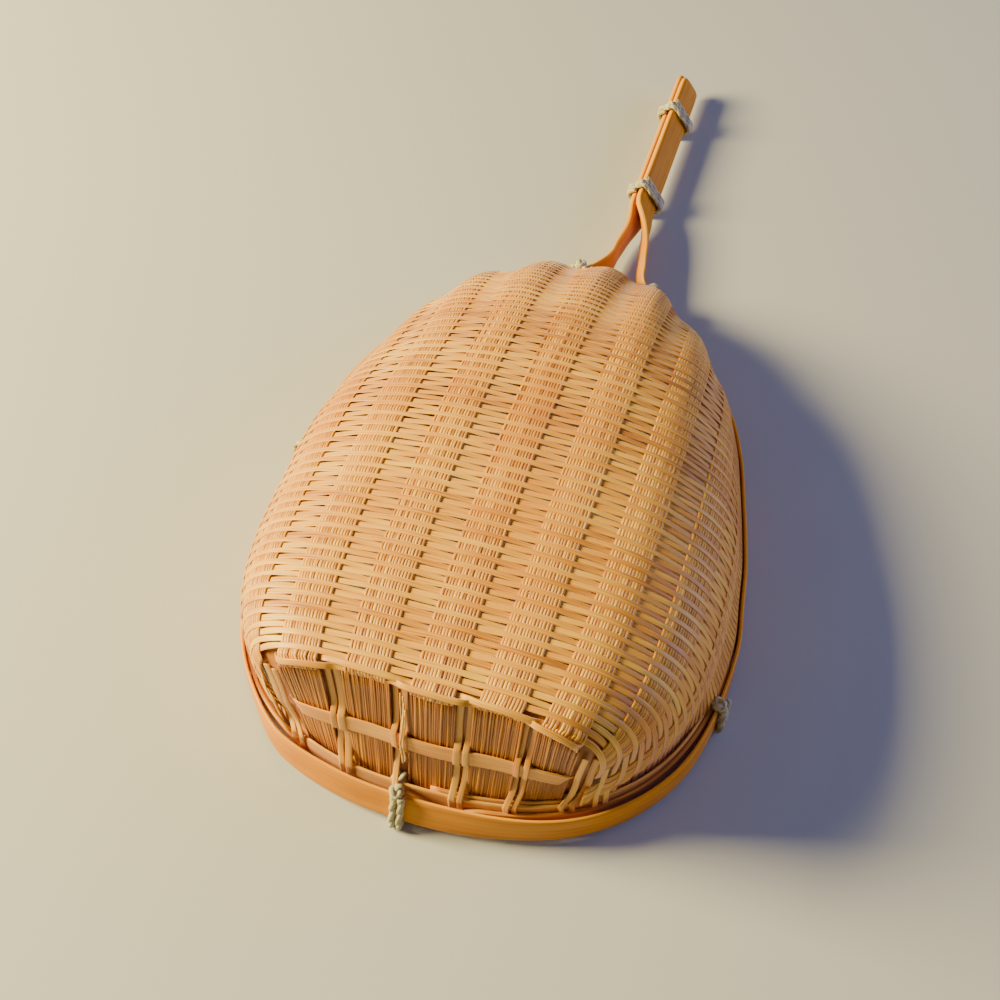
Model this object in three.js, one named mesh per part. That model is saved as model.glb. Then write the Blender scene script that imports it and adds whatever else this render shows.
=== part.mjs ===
// Scoop basket of split bamboo, lying upside down on its rim with the handle along +Y.
// Millimetres, +Z up. Lengths along the basket are measured from the front of the rim,
// heights from the table, and the finished group is centred on its own footprint.
import * as THREE from 'three';

// Rim outline, measured on the outer face of the outer hoop
const rimHalfWidth = 57;
const rimWidestAt = 58;
const rimFrontRoundness = 2.46;
const bodyLength = 165;
const neckHalfWidth = 6.5;
const backTaper = 3.2;
const neckEase = 3;

// Woven body: heights of its middle surface, and how its cross-section is rounded
const foldAt = 7.4;
const foldHeight = 42.5;
const topHeight = 45;
const topAt = 55;
const backEndAt = 162.5;
const backEndHeight = 7;
const backDrop = 2.1;
const backRoundness = 1.75;
const sideRoundness = 2.55;
const frontSquareness = 3;
const frontSquareReach = 24;
const sideBulge = 2.6;
const cornerBulge = 3;
const cornerReach = 14;
const bodyLean = 4.6;
const leanFrom = 30;
const wallFootHeight = 4;

// Hoops: strips standing on edge, from the outside in
const hoopWidth = 8;
const outerHoopThickness = 1;
const middleHoopThickness = 0.8;
const middleHoopRise = 0.8;
const innerHoopThickness = 1;
const hoopEndAt = 164;

// Handle: the two ends of the outer hoop, shaved less than the rim. They close up along a fork
// and roll to the left together, in degrees.
const handleFrom = 197.5;
const handleEndRight = 256;
const handleEndLeft = 258.5;
const handleThickness = 1.5;
const handleGap = 0.5;
const handleRoll = 28;
const rollFrom = 184;
const forkShift = 1.2;
const forkEasing = 1.25;
const forkShiftEasing = 4;
const handleTipRounding = 3;
const handleTipShape = [[0, 0.45], [0.12, 0.7], [0.45, 0.92]];

// Warp bands: bundles of split strands running from the front wall over the body to the back
const bandsPerSide = 4;
const frontBandsPerSide = 2;
const bandPitch = 15.8;
const frontEdgePastCorner = 3.45;
const bandPitchReach = 14;
const bandWidth = 9.5;
const frontBandWidth = 8.8;
const bandThickness = 0.8;
const bandLowest = 14.5;
const bandLeastWidth = 3;

// Weaver strips, rim to rim across the bands
const weaverPitch = 5.6;
const weaverWidth = 2.8;
const weaverThickness = 0.6;
const weaverFirst = 4.8;
const weaverCount = 26;
const weaverTailFoot = 5;
const bandEdgeReach = 0.4;

// Front wall: cross strip, fold strips and thin stakes
const crossStripWidth = 4.4;
const crossStripThickness = 0.7;
const crossStripLevel = 0.54;
const frontWallTaper = 0.93;
const foldStripWidth = 1.6;
const foldStripThickness = 0.7;
const foldStripDrop = 3;
const innerFoldStripDrop = 5;
const stakeWidth = 0.9;
const stakeThickness = 0.6;
const stakeSpacing = 2.2;
const stakeTop = 0.1;
const stakeEasing = 1.5;
const stakeLift = 0.4;
const cutStakeFoot = 17;
const cornerStakeOut = 3.4;

// Twine lashings
const twineDiameter = 1.8;
const twinePitch = 2.3;
const rimLashingLoops = 2;
const handleLashingLoops = 3;
const frontLashingGap = -1;
const rightLashingNear = 43;
const leftLashingNear = 80;
const neckLashingRightAt = 160.5;
const neckLashingLeftAt = 161.5;
const handleLashings = [201.5, 239];
const twineSides = 6;
const cornerSteps = 4;
const flatCutShare = 0.1;

const clearance = 0.3;

// Levels and depths that follow from the sizes above
const tableLevel = 0;
const twineRadius = twineDiameter / 2;
const twineUnderside = tableLevel + twineRadius - flatCutShare * twineDiameter;
const hoopFoot = twineUnderside + twineRadius + clearance;
const hoopTop = hoopFoot + hoopWidth;
const hoopMiddle = (hoopFoot + hoopTop) / 2;
const handleHalf = handleGap / 2 + handleThickness;
const legOffset = (handleGap + handleThickness) / 2;
const fullRoll = THREE.MathUtils.degToRad(handleRoll);
const tailDepth = outerHoopThickness + clearance + weaverThickness / 2;
const middleHoopDepth = outerHoopThickness + 2 * clearance + weaverThickness;
const wallDepth = middleHoopDepth + middleHoopThickness + clearance + bandThickness / 2;
const innerHoopDepth = wallDepth + bandThickness / 2 + clearance;
const stackDepth = innerHoopDepth + innerHoopThickness;
const weaverOffset = bandThickness / 2 + clearance + weaverThickness / 2;
const crossStripOffset = bandThickness / 2 + clearance + crossStripThickness / 2;

const vec = (x, y, z) => new THREE.Vector3(x, y, z);
const mix = (a, b, t) => a.clone().lerp(b, t);
const shifted = (p, direction, distance) => p.clone().addScaledVector(direction, distance);
const up = vec(0, 0, 1);
const lengthwise = vec(0, 1, 0);

// Half width of the rim's outer outline at a distance from the front
function rimHalf(y) {
  if (y < rimWidestAt) {
    const ahead = (rimWidestAt - y) / rimWidestAt;
    return rimHalfWidth * (1 - ahead ** rimFrontRoundness) ** (1 / rimFrontRoundness);
  }
  const behind = Math.min((y - rimWidestAt) / (bodyLength - rimWidestAt), 1);
  return neckHalfWidth + (rimHalfWidth - neckHalfWidth) * (1 - behind ** backTaper);
}

// The hand-woven body leans to its left towards the back and comes straight again at the neck
function lean(y) {
  const along = THREE.MathUtils.clamp((y - leanFrom) / (bodyLength - leanFrom), 0, 1);
  return -bodyLean * Math.sin(Math.PI * along ** 2);
}

function crownHeight(y) {
  if (y < topAt) {
    const ahead = (topAt - y) / (topAt - foldAt);
    return topHeight - (topHeight - foldHeight) * ahead ** 2;
  }
  const behind = Math.min((y - topAt) / (backEndAt - topAt), 1);
  return backEndHeight + (topHeight - backEndHeight) * (1 - behind ** backDrop) ** (1 / backRoundness);
}

// Steps round a cross-section, and the step over which slopes are measured
const sectionSteps = 180;
const slopeStep = 0.5;

// One cross-section of the body's middle surface, with arc lengths from the axis plane
const sections = new Map();
function section(y) {
  if (sections.has(y)) {
    return sections.get(y);
  }
  const half = rimHalf(y) - wallDepth;
  const power = 2 / (sideRoundness + frontSquareness * Math.exp(-y / frontSquareReach));
  const bulge = sideBulge + cornerBulge * Math.exp(-(y - foldAt) / cornerReach);
  const rise = crownHeight(y) - wallFootHeight;
  const points = [];
  for (let i = 0; i <= sectionSteps; i++) {
    const angle = Math.PI * i / sectionSteps;
    const side = -Math.sign(Math.cos(angle).toFixed(9));
    const across = half * Math.abs(Math.cos(angle)) ** power + bulge * Math.abs(Math.sin(2 * angle));
    const height = wallFootHeight + rise * Math.abs(Math.sin(angle)) ** power;
    points.push(vec(lean(y) + side * across, y, height));
  }
  const arcs = [0];
  let axisArc = 0;
  for (let i = 1; i < points.length; i++) {
    const before = points[i - 1];
    const length = before.distanceTo(points[i]);
    if (before.x < 0 && points[i].x >= 0) {
      axisArc = arcs[i - 1] + length * before.x / (before.x - points[i].x);
    }
    arcs.push(arcs[i - 1] + length);
  }
  const table = { points, arcs: arcs.map((arc) => arc - axisArc) };
  sections.set(y, table);
  return table;
}

function wallPoint(y, arc) {
  const { points, arcs } = section(y);
  let i = 1;
  while (i < arcs.length - 1 && arcs[i] < arc) {
    i++;
  }
  return mix(points[i - 1], points[i], (arc - arcs[i - 1]) / (arcs[i] - arcs[i - 1]));
}

// Arc lengths at which the wall comes down to a height, on the left and on the right
function arcsAtHeight(y, height) {
  const { points, arcs } = section(y);
  const first = points.findIndex((p) => p.z >= height);
  const last = points.findLastIndex((p) => p.z >= height);
  if (first < 1) {
    return [0, 0];
  }
  const cross = (i, j) => {
    const share = (height - points[i].z) / (points[j].z - points[i].z);
    return arcs[i] + (arcs[j] - arcs[i]) * share;
  };
  return [cross(first - 1, first), cross(last + 1, last)];
}

function loft(rings) {
  const size = rings[0].length;
  const points = rings.flat();
  const faces = [];
  for (let i = 0; i < rings.length - 1; i++) {
    for (let j = 0; j < size; j++) {
      const a = i * size + j;
      const b = i * size + (j + 1) % size;
      faces.push([a, b, b + size], [a, b + size, a + size]);
    }
  }
  const last = (rings.length - 1) * size;
  for (let j = 1; j < size - 1; j++) {
    faces.push([0, j + 1, j], [last, last + j, last + j + 1]);
  }
  let volume = 0;
  for (const [a, b, c] of faces) {
    volume += points[a].dot(points[b].clone().cross(points[c]));
  }
  const order = volume > 0 ? faces : faces.map(([a, b, c]) => [a, c, b]);
  const geometry = new THREE.BufferGeometry();
  geometry.setAttribute('position', new THREE.Float32BufferAttribute(points.flatMap((p) => p.toArray()), 3));
  geometry.setIndex(order.flat());
  geometry.computeVertexNormals();
  return geometry;
}

// A flat strip through stations that each give a place, the direction of the width,
// the direction of the thickness, and both sizes
function strip(stations) {
  return loft(stations.map(({ place, wide, thick, width, thickness }) => {
    const w = wide.clone().multiplyScalar(width / 2);
    const t = thick.clone().multiplyScalar(thickness / 2);
    return [
      place.clone().add(w).add(t),
      place.clone().sub(w).add(t),
      place.clone().sub(w).sub(t),
      place.clone().add(w).sub(t),
    ];
  }));
}

// Turns places with width directions into stations, with the thickness square to the run
function stripStations(places, widths, width, thickness) {
  return places.map((place, i) => {
    const before = places[Math.max(i - 1, 0)];
    const after = places[Math.min(i + 1, places.length - 1)];
    const run = after.clone().sub(before).normalize();
    const thick = run.cross(widths[i]).normalize();
    return { place, wide: widths[i], thick, width, thickness };
  });
}

const basket = new THREE.Group();
function add(name, geometry, material) {
  const mesh = new THREE.Mesh(geometry, material.clone());
  mesh.name = name;
  basket.add(mesh);
}

const bamboo = (color, roughness) => new THREE.MeshStandardMaterial({ color, roughness, metalness: 0 });
const orangeBamboo = bamboo(0xcf8a3a, 0.4);
const paleBamboo = bamboo(0xd9b27a, 0.55);
const strawBamboo = bamboo(0xe0bd84, 0.55);
const strandBamboo = bamboo(0xc08a52, 0.65);
const greyTwine = bamboo(0xb4ae94, 0.9);

// The outer outline from the right handle tip round the front to the left handle tip
function halfOutline(side, tip) {
  const points = [];
  const frontSteps = 12;
  for (let i = 1; i <= frontSteps; i++) {
    const turn = Math.PI / 2 * i / frontSteps;
    const y = rimWidestAt * (1 - Math.cos(turn).toFixed(9) ** (2 / rimFrontRoundness));
    points.push(vec(side * rimHalf(y), y, 0));
  }
  const backSteps = 10;
  const backTo = bodyLength - neckEase;
  for (let i = 1; i <= backSteps; i++) {
    const y = rimWidestAt + (backTo - rimWidestAt) * i / backSteps;
    points.push(vec(lean(y) + side * rimHalf(y), y, 0));
  }
  const forkSteps = 5;
  for (let i = 1; i <= forkSteps; i++) {
    const along = i / forkSteps;
    const half = handleHalf + (neckHalfWidth - handleHalf) * (1 - along) ** forkEasing;
    const shift = forkShift * (1 - along ** forkShiftEasing);
    points.push(vec(shift + side * half, bodyLength + (handleFrom - bodyLength) * along, 0));
  }
  const handleSteps = 4;
  for (let i = 1; i <= handleSteps; i++) {
    points.push(vec(side * handleHalf, handleFrom + (tip - handleFrom) * i / handleSteps, 0));
  }
  return points;
}

const outlineCurve = new THREE.CatmullRomCurve3([
  ...halfOutline(1, handleEndRight).reverse(),
  vec(0, 0, 0),
  ...halfOutline(-1, handleEndLeft),
]);
const outlineSteps = 130;
const outline = outlineCurve.getSpacedPoints(outlineSteps).map((place, i) => {
  const run = outlineCurve.getTangentAt(i / outlineSteps).setZ(0).normalize();
  return { place, run, inward: vec(run.y, -run.x, 0) };
});

// Place on the outline at a distance from the front, on the right (1) or left (-1) side
function onOutline(y, side) {
  const list = side > 0 ? outline : outline.toReversed();
  const i = list.findIndex(({ place }) => place.y <= y);
  const share = (list[i - 1].place.y - y) / (list[i - 1].place.y - list[i].place.y);
  return {
    place: mix(list[i - 1].place, list[i].place, share),
    run: mix(list[i - 1].run, list[i].run, share).normalize(),
    inward: mix(list[i - 1].inward, list[i].inward, share).normalize(),
  };
}

// Place on the front of the outline at a distance across
function onFront(x) {
  const i = outline.findIndex(({ place }) => place.x <= x && place.y < rimWidestAt);
  const share = (outline[i - 1].place.x - x) / (outline[i - 1].place.x - outline[i].place.x);
  return {
    place: mix(outline[i - 1].place, outline[i].place, share),
    run: mix(outline[i - 1].run, outline[i].run, share).normalize(),
    inward: mix(outline[i - 1].inward, outline[i].inward, share).normalize(),
  };
}

// The rolled handle is lifted so that its lowest edge stays level with the foot of the rim
const liftAt = (roll) => handleHalf * Math.sin(roll) - hoopWidth / 2 * (1 - Math.cos(roll));
const rolled = (direction, roll) => direction.clone().applyAxisAngle(lengthwise, -roll);

function outerHoop() {
  const shave = (y) => {
    const along = THREE.MathUtils.smoothstep(y, bodyLength, handleFrom);
    return outerHoopThickness + (handleThickness - outerHoopThickness) * along;
  };
  const stations = outline.map(({ place, inward }) => {
    const thickness = shave(place.y);
    const roll = fullRoll * THREE.MathUtils.smoothstep(place.y, rollFrom, handleFrom);
    const leg = vec(Math.sign(place.x) * legOffset, 0, 0);
    const swing = rolled(leg, roll).sub(leg);
    const centre = shifted(place, inward, thickness / 2).setZ(hoopMiddle + liftAt(roll)).add(swing);
    return { place: centre, wide: rolled(up, roll), thick: rolled(inward, roll), width: hoopWidth, thickness };
  });
  const roundTip = (station, next) => {
    const back = next.place.clone().sub(station.place).normalize();
    return handleTipShape.map(([share, height]) => ({
      ...station,
      place: shifted(station.place, back, share * handleTipRounding),
      width: station.width * height,
    }));
  };
  const first = stations[0];
  const last = stations[stations.length - 1];
  const rightTip = roundTip(first, stations[1]);
  const leftTip = roundTip(last, stations[stations.length - 2]).reverse();
  return strip([...rightTip, ...stations.slice(1, -1), ...leftTip]);
}

function plainHoop(depth, thickness, foot, top) {
  const held = outline.filter(({ place }) => place.y < hoopEndAt);
  return strip(held.map(({ place, inward }) => ({
    place: shifted(place, inward, depth + thickness / 2).setZ((foot + top) / 2),
    wide: up,
    thick: inward,
    width: top - foot,
    thickness,
  })));
}

add('rim_hoop_outer', outerHoop(), orangeBamboo);
const middleHoop = plainHoop(middleHoopDepth, middleHoopThickness, hoopFoot + middleHoopRise, hoopTop);
add('rim_hoop_middle', middleHoop, paleBamboo);
add('rim_hoop_inner', plainHoop(innerHoopDepth, innerHoopThickness, hoopFoot, hoopTop), paleBamboo);

// The bands close up towards the fold, so that the outermost front ones reach just past its corners
const foldHalfWidth = rimHalf(foldAt) - wallDepth;
const foldPitch = (foldHalfWidth + frontEdgePastCorner - frontBandWidth / 2) / frontBandsPerSide;
const bandPitchLossAtFold = bandPitch - foldPitch;

// Weaver courses and warp bands share these places
const weaverPlaces = Array.from({ length: weaverCount }, (_, i) => foldAt + weaverFirst + i * weaverPitch);
const bandArc = (k, y) => k * (bandPitch - bandPitchLossAtFold * Math.exp(-(y - foldAt) / bandPitchReach));

// Arc lengths of a band's two edges, cut off where the wall nears the hoops
function bandArcs(k, y) {
  const [lowest, highest] = arcsAtHeight(y, bandLowest);
  const left = Math.max(bandArc(k, y) - bandWidth / 2, lowest);
  const right = Math.min(bandArc(k, y) + bandWidth / 2, highest);
  return [left, right];
}

// The two edges of a band at a distance from the front: places, directions along the band and outwards
function bandEdges(k, y) {
  const arcs = bandArcs(k, y);
  if (arcs[1] - arcs[0] < bandLeastWidth) {
    return null;
  }
  const [left, right] = arcs.map((arc) => wallPoint(y, arc));
  const across = right.clone().sub(left).normalize();
  const ahead = bandArcs(k, y + slopeStep);
  const behind = bandArcs(k, y - slopeStep);
  return [left, right].map((place, i) => {
    const run = wallPoint(y + slopeStep, ahead[i]).sub(wallPoint(y - slopeStep, behind[i])).normalize();
    return { place, run, across, out: across.clone().cross(run).normalize() };
  });
}

// Front wall: a ruled surface from the fold down to the top of the hoops
function frontWall(arc, drop) {
  const top = wallPoint(foldAt, arc);
  const footX = top.x * frontWallTaper;
  const rim = onFront(footX);
  const foot = shifted(rim.place, rim.inward, wallDepth).setZ(hoopTop + clearance);
  return mix(top, foot, drop);
}

function frontOut(arc, drop) {
  const across = frontWall(arc + slopeStep, drop).sub(frontWall(arc - slopeStep, drop));
  const down = frontWall(arc, 1).sub(frontWall(arc, 0));
  return down.cross(across).normalize();
}

function bandRing(left, right, leftOut, rightOut, thickness) {
  return [
    shifted(right, rightOut, thickness / 2),
    shifted(left, leftOut, thickness / 2),
    shifted(left, leftOut, -thickness / 2),
    shifted(right, rightOut, -thickness / 2),
  ];
}

const frontDrops = [1, 0.82, 0.64, 0.46, 0.28, 0.1];
const foldEasing = 0.7;
function warpBand(k) {
  const rings = [];
  const reachesFront = Math.abs(k) <= frontBandsPerSide;
  const centre = bandArc(k, foldAt);
  if (reachesFront) {
    const leftArc = centre - frontBandWidth / 2;
    const rightArc = centre + frontBandWidth / 2;
    const footLeft = frontWall(leftArc, 1).setZ(wallFootHeight);
    const footRight = frontWall(rightArc, 1).setZ(wallFootHeight);
    const footOut = footRight.clone().sub(footLeft).cross(up).normalize();
    rings.push(bandRing(footLeft, footRight, footOut, footOut, bandThickness));
    for (const drop of frontDrops) {
      const out = frontOut(centre, drop);
      rings.push(bandRing(frontWall(leftArc, drop), frontWall(rightArc, drop), out, out, bandThickness));
    }
    const turn = vec(0, foldEasing, -foldEasing);
    const out = frontOut(centre, 0).add(up).normalize();
    const left = wallPoint(foldAt, leftArc).add(turn);
    const right = wallPoint(foldAt, rightArc).add(turn);
    rings.push(bandRing(left, right, out, out, bandThickness * Math.SQRT2));
  }
  const crossed = weaverPlaces.flatMap((y) => [y, y + weaverPitch / 2]);
  const places = reachesFront ? [foldAt + weaverFirst / 2, ...crossed] : crossed.slice(1);
  for (const y of places) {
    const edges = y < backEndAt ? bandEdges(k, y) : null;
    if (edges === null) {
      break;
    }
    const [left, right] = edges;
    rings.push(bandRing(left.place, right.place, left.out, right.out, bandThickness));
  }
  return loft(rings);
}

for (let k = -bandsPerSide; k <= bandsPerSide; k++) {
  add(`warp_band_${k + bandsPerSide + 1}`, warpBand(k), strandBamboo);
}

// A weaver goes over one band and under the next, and its ends tuck in behind the outer hoop.
// The first one runs down the front corners ahead of the side bands.
function weaver(course) {
  const y = weaverPlaces[course];
  const places = [];
  const widths = [];
  const tuck = (side) => {
    const { place, run, inward } = onOutline(y, side);
    const centre = shifted(place, inward, tailDepth);
    const along = run.clone().multiplyScalar(-side);
    return [hoopTop + clearance, weaverTailFoot].map((z) => [centre.clone().setZ(z), along]);
  };
  const put = ([place, along]) => {
    places.push(place);
    widths.push(along);
  };
  tuck(-1).reverse().forEach(put);
  for (let k = -bandsPerSide; k <= bandsPerSide; k++) {
    const edges = bandEdges(k, y);
    if (edges === null) {
      continue;
    }
    const meetsBand = course > 0 || Math.abs(k) <= frontBandsPerSide;
    const outside = (k + course) % 2 === 0;
    const offset = meetsBand ? (outside ? weaverOffset : -weaverOffset) : 0;
    edges.forEach(({ place, run, across, out }, i) => {
      const reach = i === 0 ? -bandEdgeReach : bandEdgeReach;
      put([shifted(shifted(place, across, reach), out, offset), run]);
    });
  }
  tuck(1).forEach(put);
  return strip(stripStations(places, widths, weaverWidth, weaverThickness));
}

for (let course = 0; course < weaverCount; course++) {
  add(`weaver_${course + 1}`, weaver(course), strawBamboo);
}

// Strips along the front wall, lying on the bands
const frontBandCentres = [];
for (let k = -frontBandsPerSide; k <= frontBandsPerSide; k++) {
  frontBandCentres.push(bandArc(k, foldAt));
}

function frontStrip(drop, offset, width, thickness) {
  const places = [];
  const widths = [];
  for (const centre of frontBandCentres) {
    const out = frontOut(centre, drop);
    const down = frontWall(centre, 1).sub(frontWall(centre, 0)).normalize();
    for (const side of [-1, 1]) {
      const edge = frontWall(centre + side * (frontBandWidth / 2 + bandEdgeReach), drop);
      places.push(shifted(edge, out, offset));
      widths.push(down);
    }
  }
  return strip(stripStations(places, widths, width, thickness));
}

const frontWallHeight = foldHeight - hoopTop - clearance;
const foldStripLevel = foldStripDrop / frontWallHeight;
const innerFoldStripLevel = innerFoldStripDrop / frontWallHeight;
const foldStripOffset = bandThickness / 2 + clearance + foldStripThickness / 2;
const frontFoldStrip = frontStrip(foldStripLevel, foldStripOffset, foldStripWidth, foldStripThickness);
add('front_cross_strip', frontStrip(crossStripLevel, crossStripOffset, crossStripWidth, crossStripThickness),
  orangeBamboo);
add('fold_strip_outer', frontFoldStrip, strawBamboo);
add('fold_strip_inner', frontStrip(innerFoldStripLevel, -foldStripOffset, foldStripWidth, foldStripThickness),
  strawBamboo);

// Thin stakes hang in the gaps between the front bands, pass over the cross strip and tuck into the rim
const stakeOver = crossStripOffset + crossStripThickness / 2 + clearance + stakeThickness / 2;
const stakeSpread = (crossStripWidth / 2 + stakeEasing) / frontWallHeight;
function stake(arc, foot) {
  const route = [
    [stakeTop, 0],
    [crossStripLevel - 2 * stakeSpread, stakeLift],
    [crossStripLevel - stakeSpread, stakeOver],
    [crossStripLevel + stakeSpread, stakeOver],
  ];
  const places = route.map(([drop, offset]) => shifted(frontWall(arc, drop), frontOut(arc, drop), offset));
  if (foot > hoopTop) {
    places.push(shifted(frontWall(arc, 1), frontOut(arc, 1), stakeOver).setZ(foot));
  } else {
    const rim = onFront(frontWall(arc, 1).x);
    const tail = shifted(rim.place, rim.inward, tailDepth);
    places.push(tail.clone().setZ(hoopTop + clearance), tail.clone().setZ(foot));
  }
  const acrossWall = frontWall(arc + slopeStep, 1).sub(frontWall(arc - slopeStep, 1)).normalize();
  return strip(stripStations(places, places.map(() => acrossWall), stakeWidth, stakeThickness));
}

const gapArc = (gap) => (bandArc(gap, foldAt) + bandArc(gap + 1, foldAt)) / 2;
let stakeNumber = 0;
for (let gap = -frontBandsPerSide; gap < frontBandsPerSide; gap++) {
  for (const side of [-1, 1]) {
    stakeNumber += 1;
    const foot = gap === frontLashingGap ? cutStakeFoot : weaverTailFoot;
    add(`front_stake_${stakeNumber}`, stake(gapArc(gap) + side * stakeSpacing / 2, foot), paleBamboo);
  }
}
const cornerArc = bandArc(frontBandsPerSide, foldAt) + frontBandWidth / 2 + cornerStakeOut;
add('corner_stake_left', stake(-cornerArc, weaverTailFoot), paleBamboo);
add('corner_stake_right', stake(cornerArc, weaverTailFoot), paleBamboo);

// Path of a lashing: down the outer face, under, up the inner face and over, once for each loop.
// Both ends run straight up past the top for one twine diameter.
function lashingPath(at, depth, loops) {
  const margin = clearance + twineRadius;
  const flat = [];
  const corner = (depthAt, level, startAngle) => {
    for (let i = 0; i <= cornerSteps; i++) {
      const angle = startAngle + Math.PI / 2 * i / cornerSteps;
      flat.push([depthAt - margin * Math.cos(angle), level - margin * Math.sin(angle)]);
    }
  };
  const tailTop = hoopTop + margin + twineDiameter;
  flat.push([-margin, tailTop]);
  for (let loop = 0; loop < loops; loop++) {
    flat.push([-margin, hoopMiddle]);
    corner(0, hoopFoot, 0);
    corner(depth, hoopFoot, Math.PI / 2);
    flat.push([depth + margin, hoopMiddle]);
    if (loop < loops - 1) {
      corner(depth, hoopTop, Math.PI);
      corner(0, hoopTop, Math.PI * 3 / 2);
    }
  }
  flat.push([depth + margin, tailTop]);
  const lengths = [0];
  for (let i = 1; i < flat.length; i++) {
    const step = Math.hypot(flat[i][0] - flat[i - 1][0], flat[i][1] - flat[i - 1][1]);
    lengths.push(lengths[i - 1] + step);
  }
  const total = lengths[lengths.length - 1];
  const straight = twineDiameter;
  const travel = twinePitch * loops;
  return flat.map(([inwards, z], i) => {
    const share = THREE.MathUtils.clamp((lengths[i] - straight) / (total - 2 * straight), 0, 1);
    const along = (share - 0.5) * travel;
    return shifted(shifted(at.place, at.inward, inwards), at.run, along).setZ(z);
  });
}

// Least gap between stretches of one lashing that aren't neighbours on its path
const gapSamples = 8;
function leastGap(path) {
  const dense = [];
  for (let i = 1; i < path.length; i++) {
    for (let j = 0; j < gapSamples; j++) {
      dense.push(mix(path[i - 1], path[i], j / gapSamples));
    }
  }
  const arcs = [0];
  for (let i = 1; i < dense.length; i++) {
    arcs.push(arcs[i - 1] + dense[i].distanceTo(dense[i - 1]));
  }
  let least = Infinity;
  for (let i = 0; i < dense.length; i++) {
    for (let j = i + 1; j < dense.length; j++) {
      if (arcs[j] - arcs[i] > Math.PI * twineDiameter) {
        least = Math.min(least, dense[i].distanceTo(dense[j]) - twineDiameter);
      }
    }
  }
  return least;
}

// Twine round the path, cut flat underneath where the basket stands on it
function lashing(path, along) {
  return loft(path.map((place, i) => {
    const before = path[Math.max(i - 1, 0)];
    const after = path[Math.min(i + 1, path.length - 1)];
    const run = after.clone().sub(before).normalize();
    const out = run.clone().cross(along).normalize();
    const side = out.clone().cross(run).normalize();
    return Array.from({ length: twineSides }, (_, j) => {
      const angle = 2 * Math.PI * (j + 0.5) / twineSides;
      const outwards = shifted(place, out, twineRadius * Math.cos(angle));
      const point = shifted(outwards, side, twineRadius * Math.sin(angle));
      return point.setZ(Math.max(point.z, tableLevel));
    });
  }));
}

function addLashing(name, path, run) {
  console.log(`${name}: least gap to itself ${leastGap(path).toFixed(2)} mm`);
  add(name, lashing(path, run), greyTwine);
}

function addRimLashing(name, at) {
  addLashing(name, lashingPath(at, stackDepth, rimLashingLoops), at.run);
}

// The side lashings go round the rim in the gap between two weaver courses
function betweenCourses(near) {
  const before = Math.round((near - weaverPlaces[0]) / weaverPitch - 0.5);
  return weaverPlaces[0] + (before + 0.5) * weaverPitch;
}

addRimLashing('lashing_front', onFront(frontWall(gapArc(frontLashingGap), 1).x));
addRimLashing('lashing_right', onOutline(betweenCourses(rightLashingNear), 1));
addRimLashing('lashing_left', onOutline(betweenCourses(leftLashingNear), -1));
addRimLashing('lashing_neck_right', onOutline(neckLashingRightAt, 1));
addRimLashing('lashing_neck_left', onOutline(neckLashingLeftAt, -1));

// The handle lashings are rolled and lifted with the handle
const handleNames = ['lashing_handle_lower', 'lashing_handle_upper'];
handleLashings.forEach((y, i) => {
  const at = { place: vec(handleHalf, y, 0), run: vec(0, -1, 0), inward: vec(-1, 0, 0) };
  const level = vec(0, 0, hoopMiddle);
  const lifted = vec(0, 0, hoopMiddle + liftAt(fullRoll));
  const upright = lashingPath(at, 2 * handleHalf, handleLashingLoops);
  addLashing(handleNames[i], upright.map((p) => rolled(p.sub(level), fullRoll).add(lifted)), at.run);
});

// Centre the basket on its footprint
const box = new THREE.Box3().setFromObject(basket);
const middle = box.getCenter(vec(0, 0, 0));
basket.position.set(-middle.x, -middle.y, tableLevel - box.min.z);
basket.updateMatrixWorld(true);

export default basket;
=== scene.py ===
"""Scoop basket of split bamboo, lying rim down, dressed around its CAD frame."""
import bisect
import random
from dataclasses import dataclass
from functools import partial
from math import copysign, cos, exp, hypot, pi, radians, sin

import bmesh
import bpy
from mathutils import Matrix, Vector, noise


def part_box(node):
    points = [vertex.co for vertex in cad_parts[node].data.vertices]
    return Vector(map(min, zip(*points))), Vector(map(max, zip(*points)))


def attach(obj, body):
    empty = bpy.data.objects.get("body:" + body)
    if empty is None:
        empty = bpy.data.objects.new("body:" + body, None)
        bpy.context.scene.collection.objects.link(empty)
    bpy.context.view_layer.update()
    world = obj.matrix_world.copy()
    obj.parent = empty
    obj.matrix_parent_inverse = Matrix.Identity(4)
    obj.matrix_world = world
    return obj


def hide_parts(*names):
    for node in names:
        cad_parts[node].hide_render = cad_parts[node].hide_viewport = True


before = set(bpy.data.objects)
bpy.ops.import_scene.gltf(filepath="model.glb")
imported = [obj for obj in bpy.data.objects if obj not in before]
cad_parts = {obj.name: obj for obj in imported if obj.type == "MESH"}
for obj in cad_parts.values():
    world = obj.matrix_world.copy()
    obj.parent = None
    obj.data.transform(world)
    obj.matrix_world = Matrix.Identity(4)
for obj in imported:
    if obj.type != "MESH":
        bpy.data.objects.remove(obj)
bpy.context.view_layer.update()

# Sizes are in millimetres, measured from the front of the rim and from the table
MM = 0.001
UP = Vector((0, 0, 1))
rng = random.Random(41)

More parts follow.
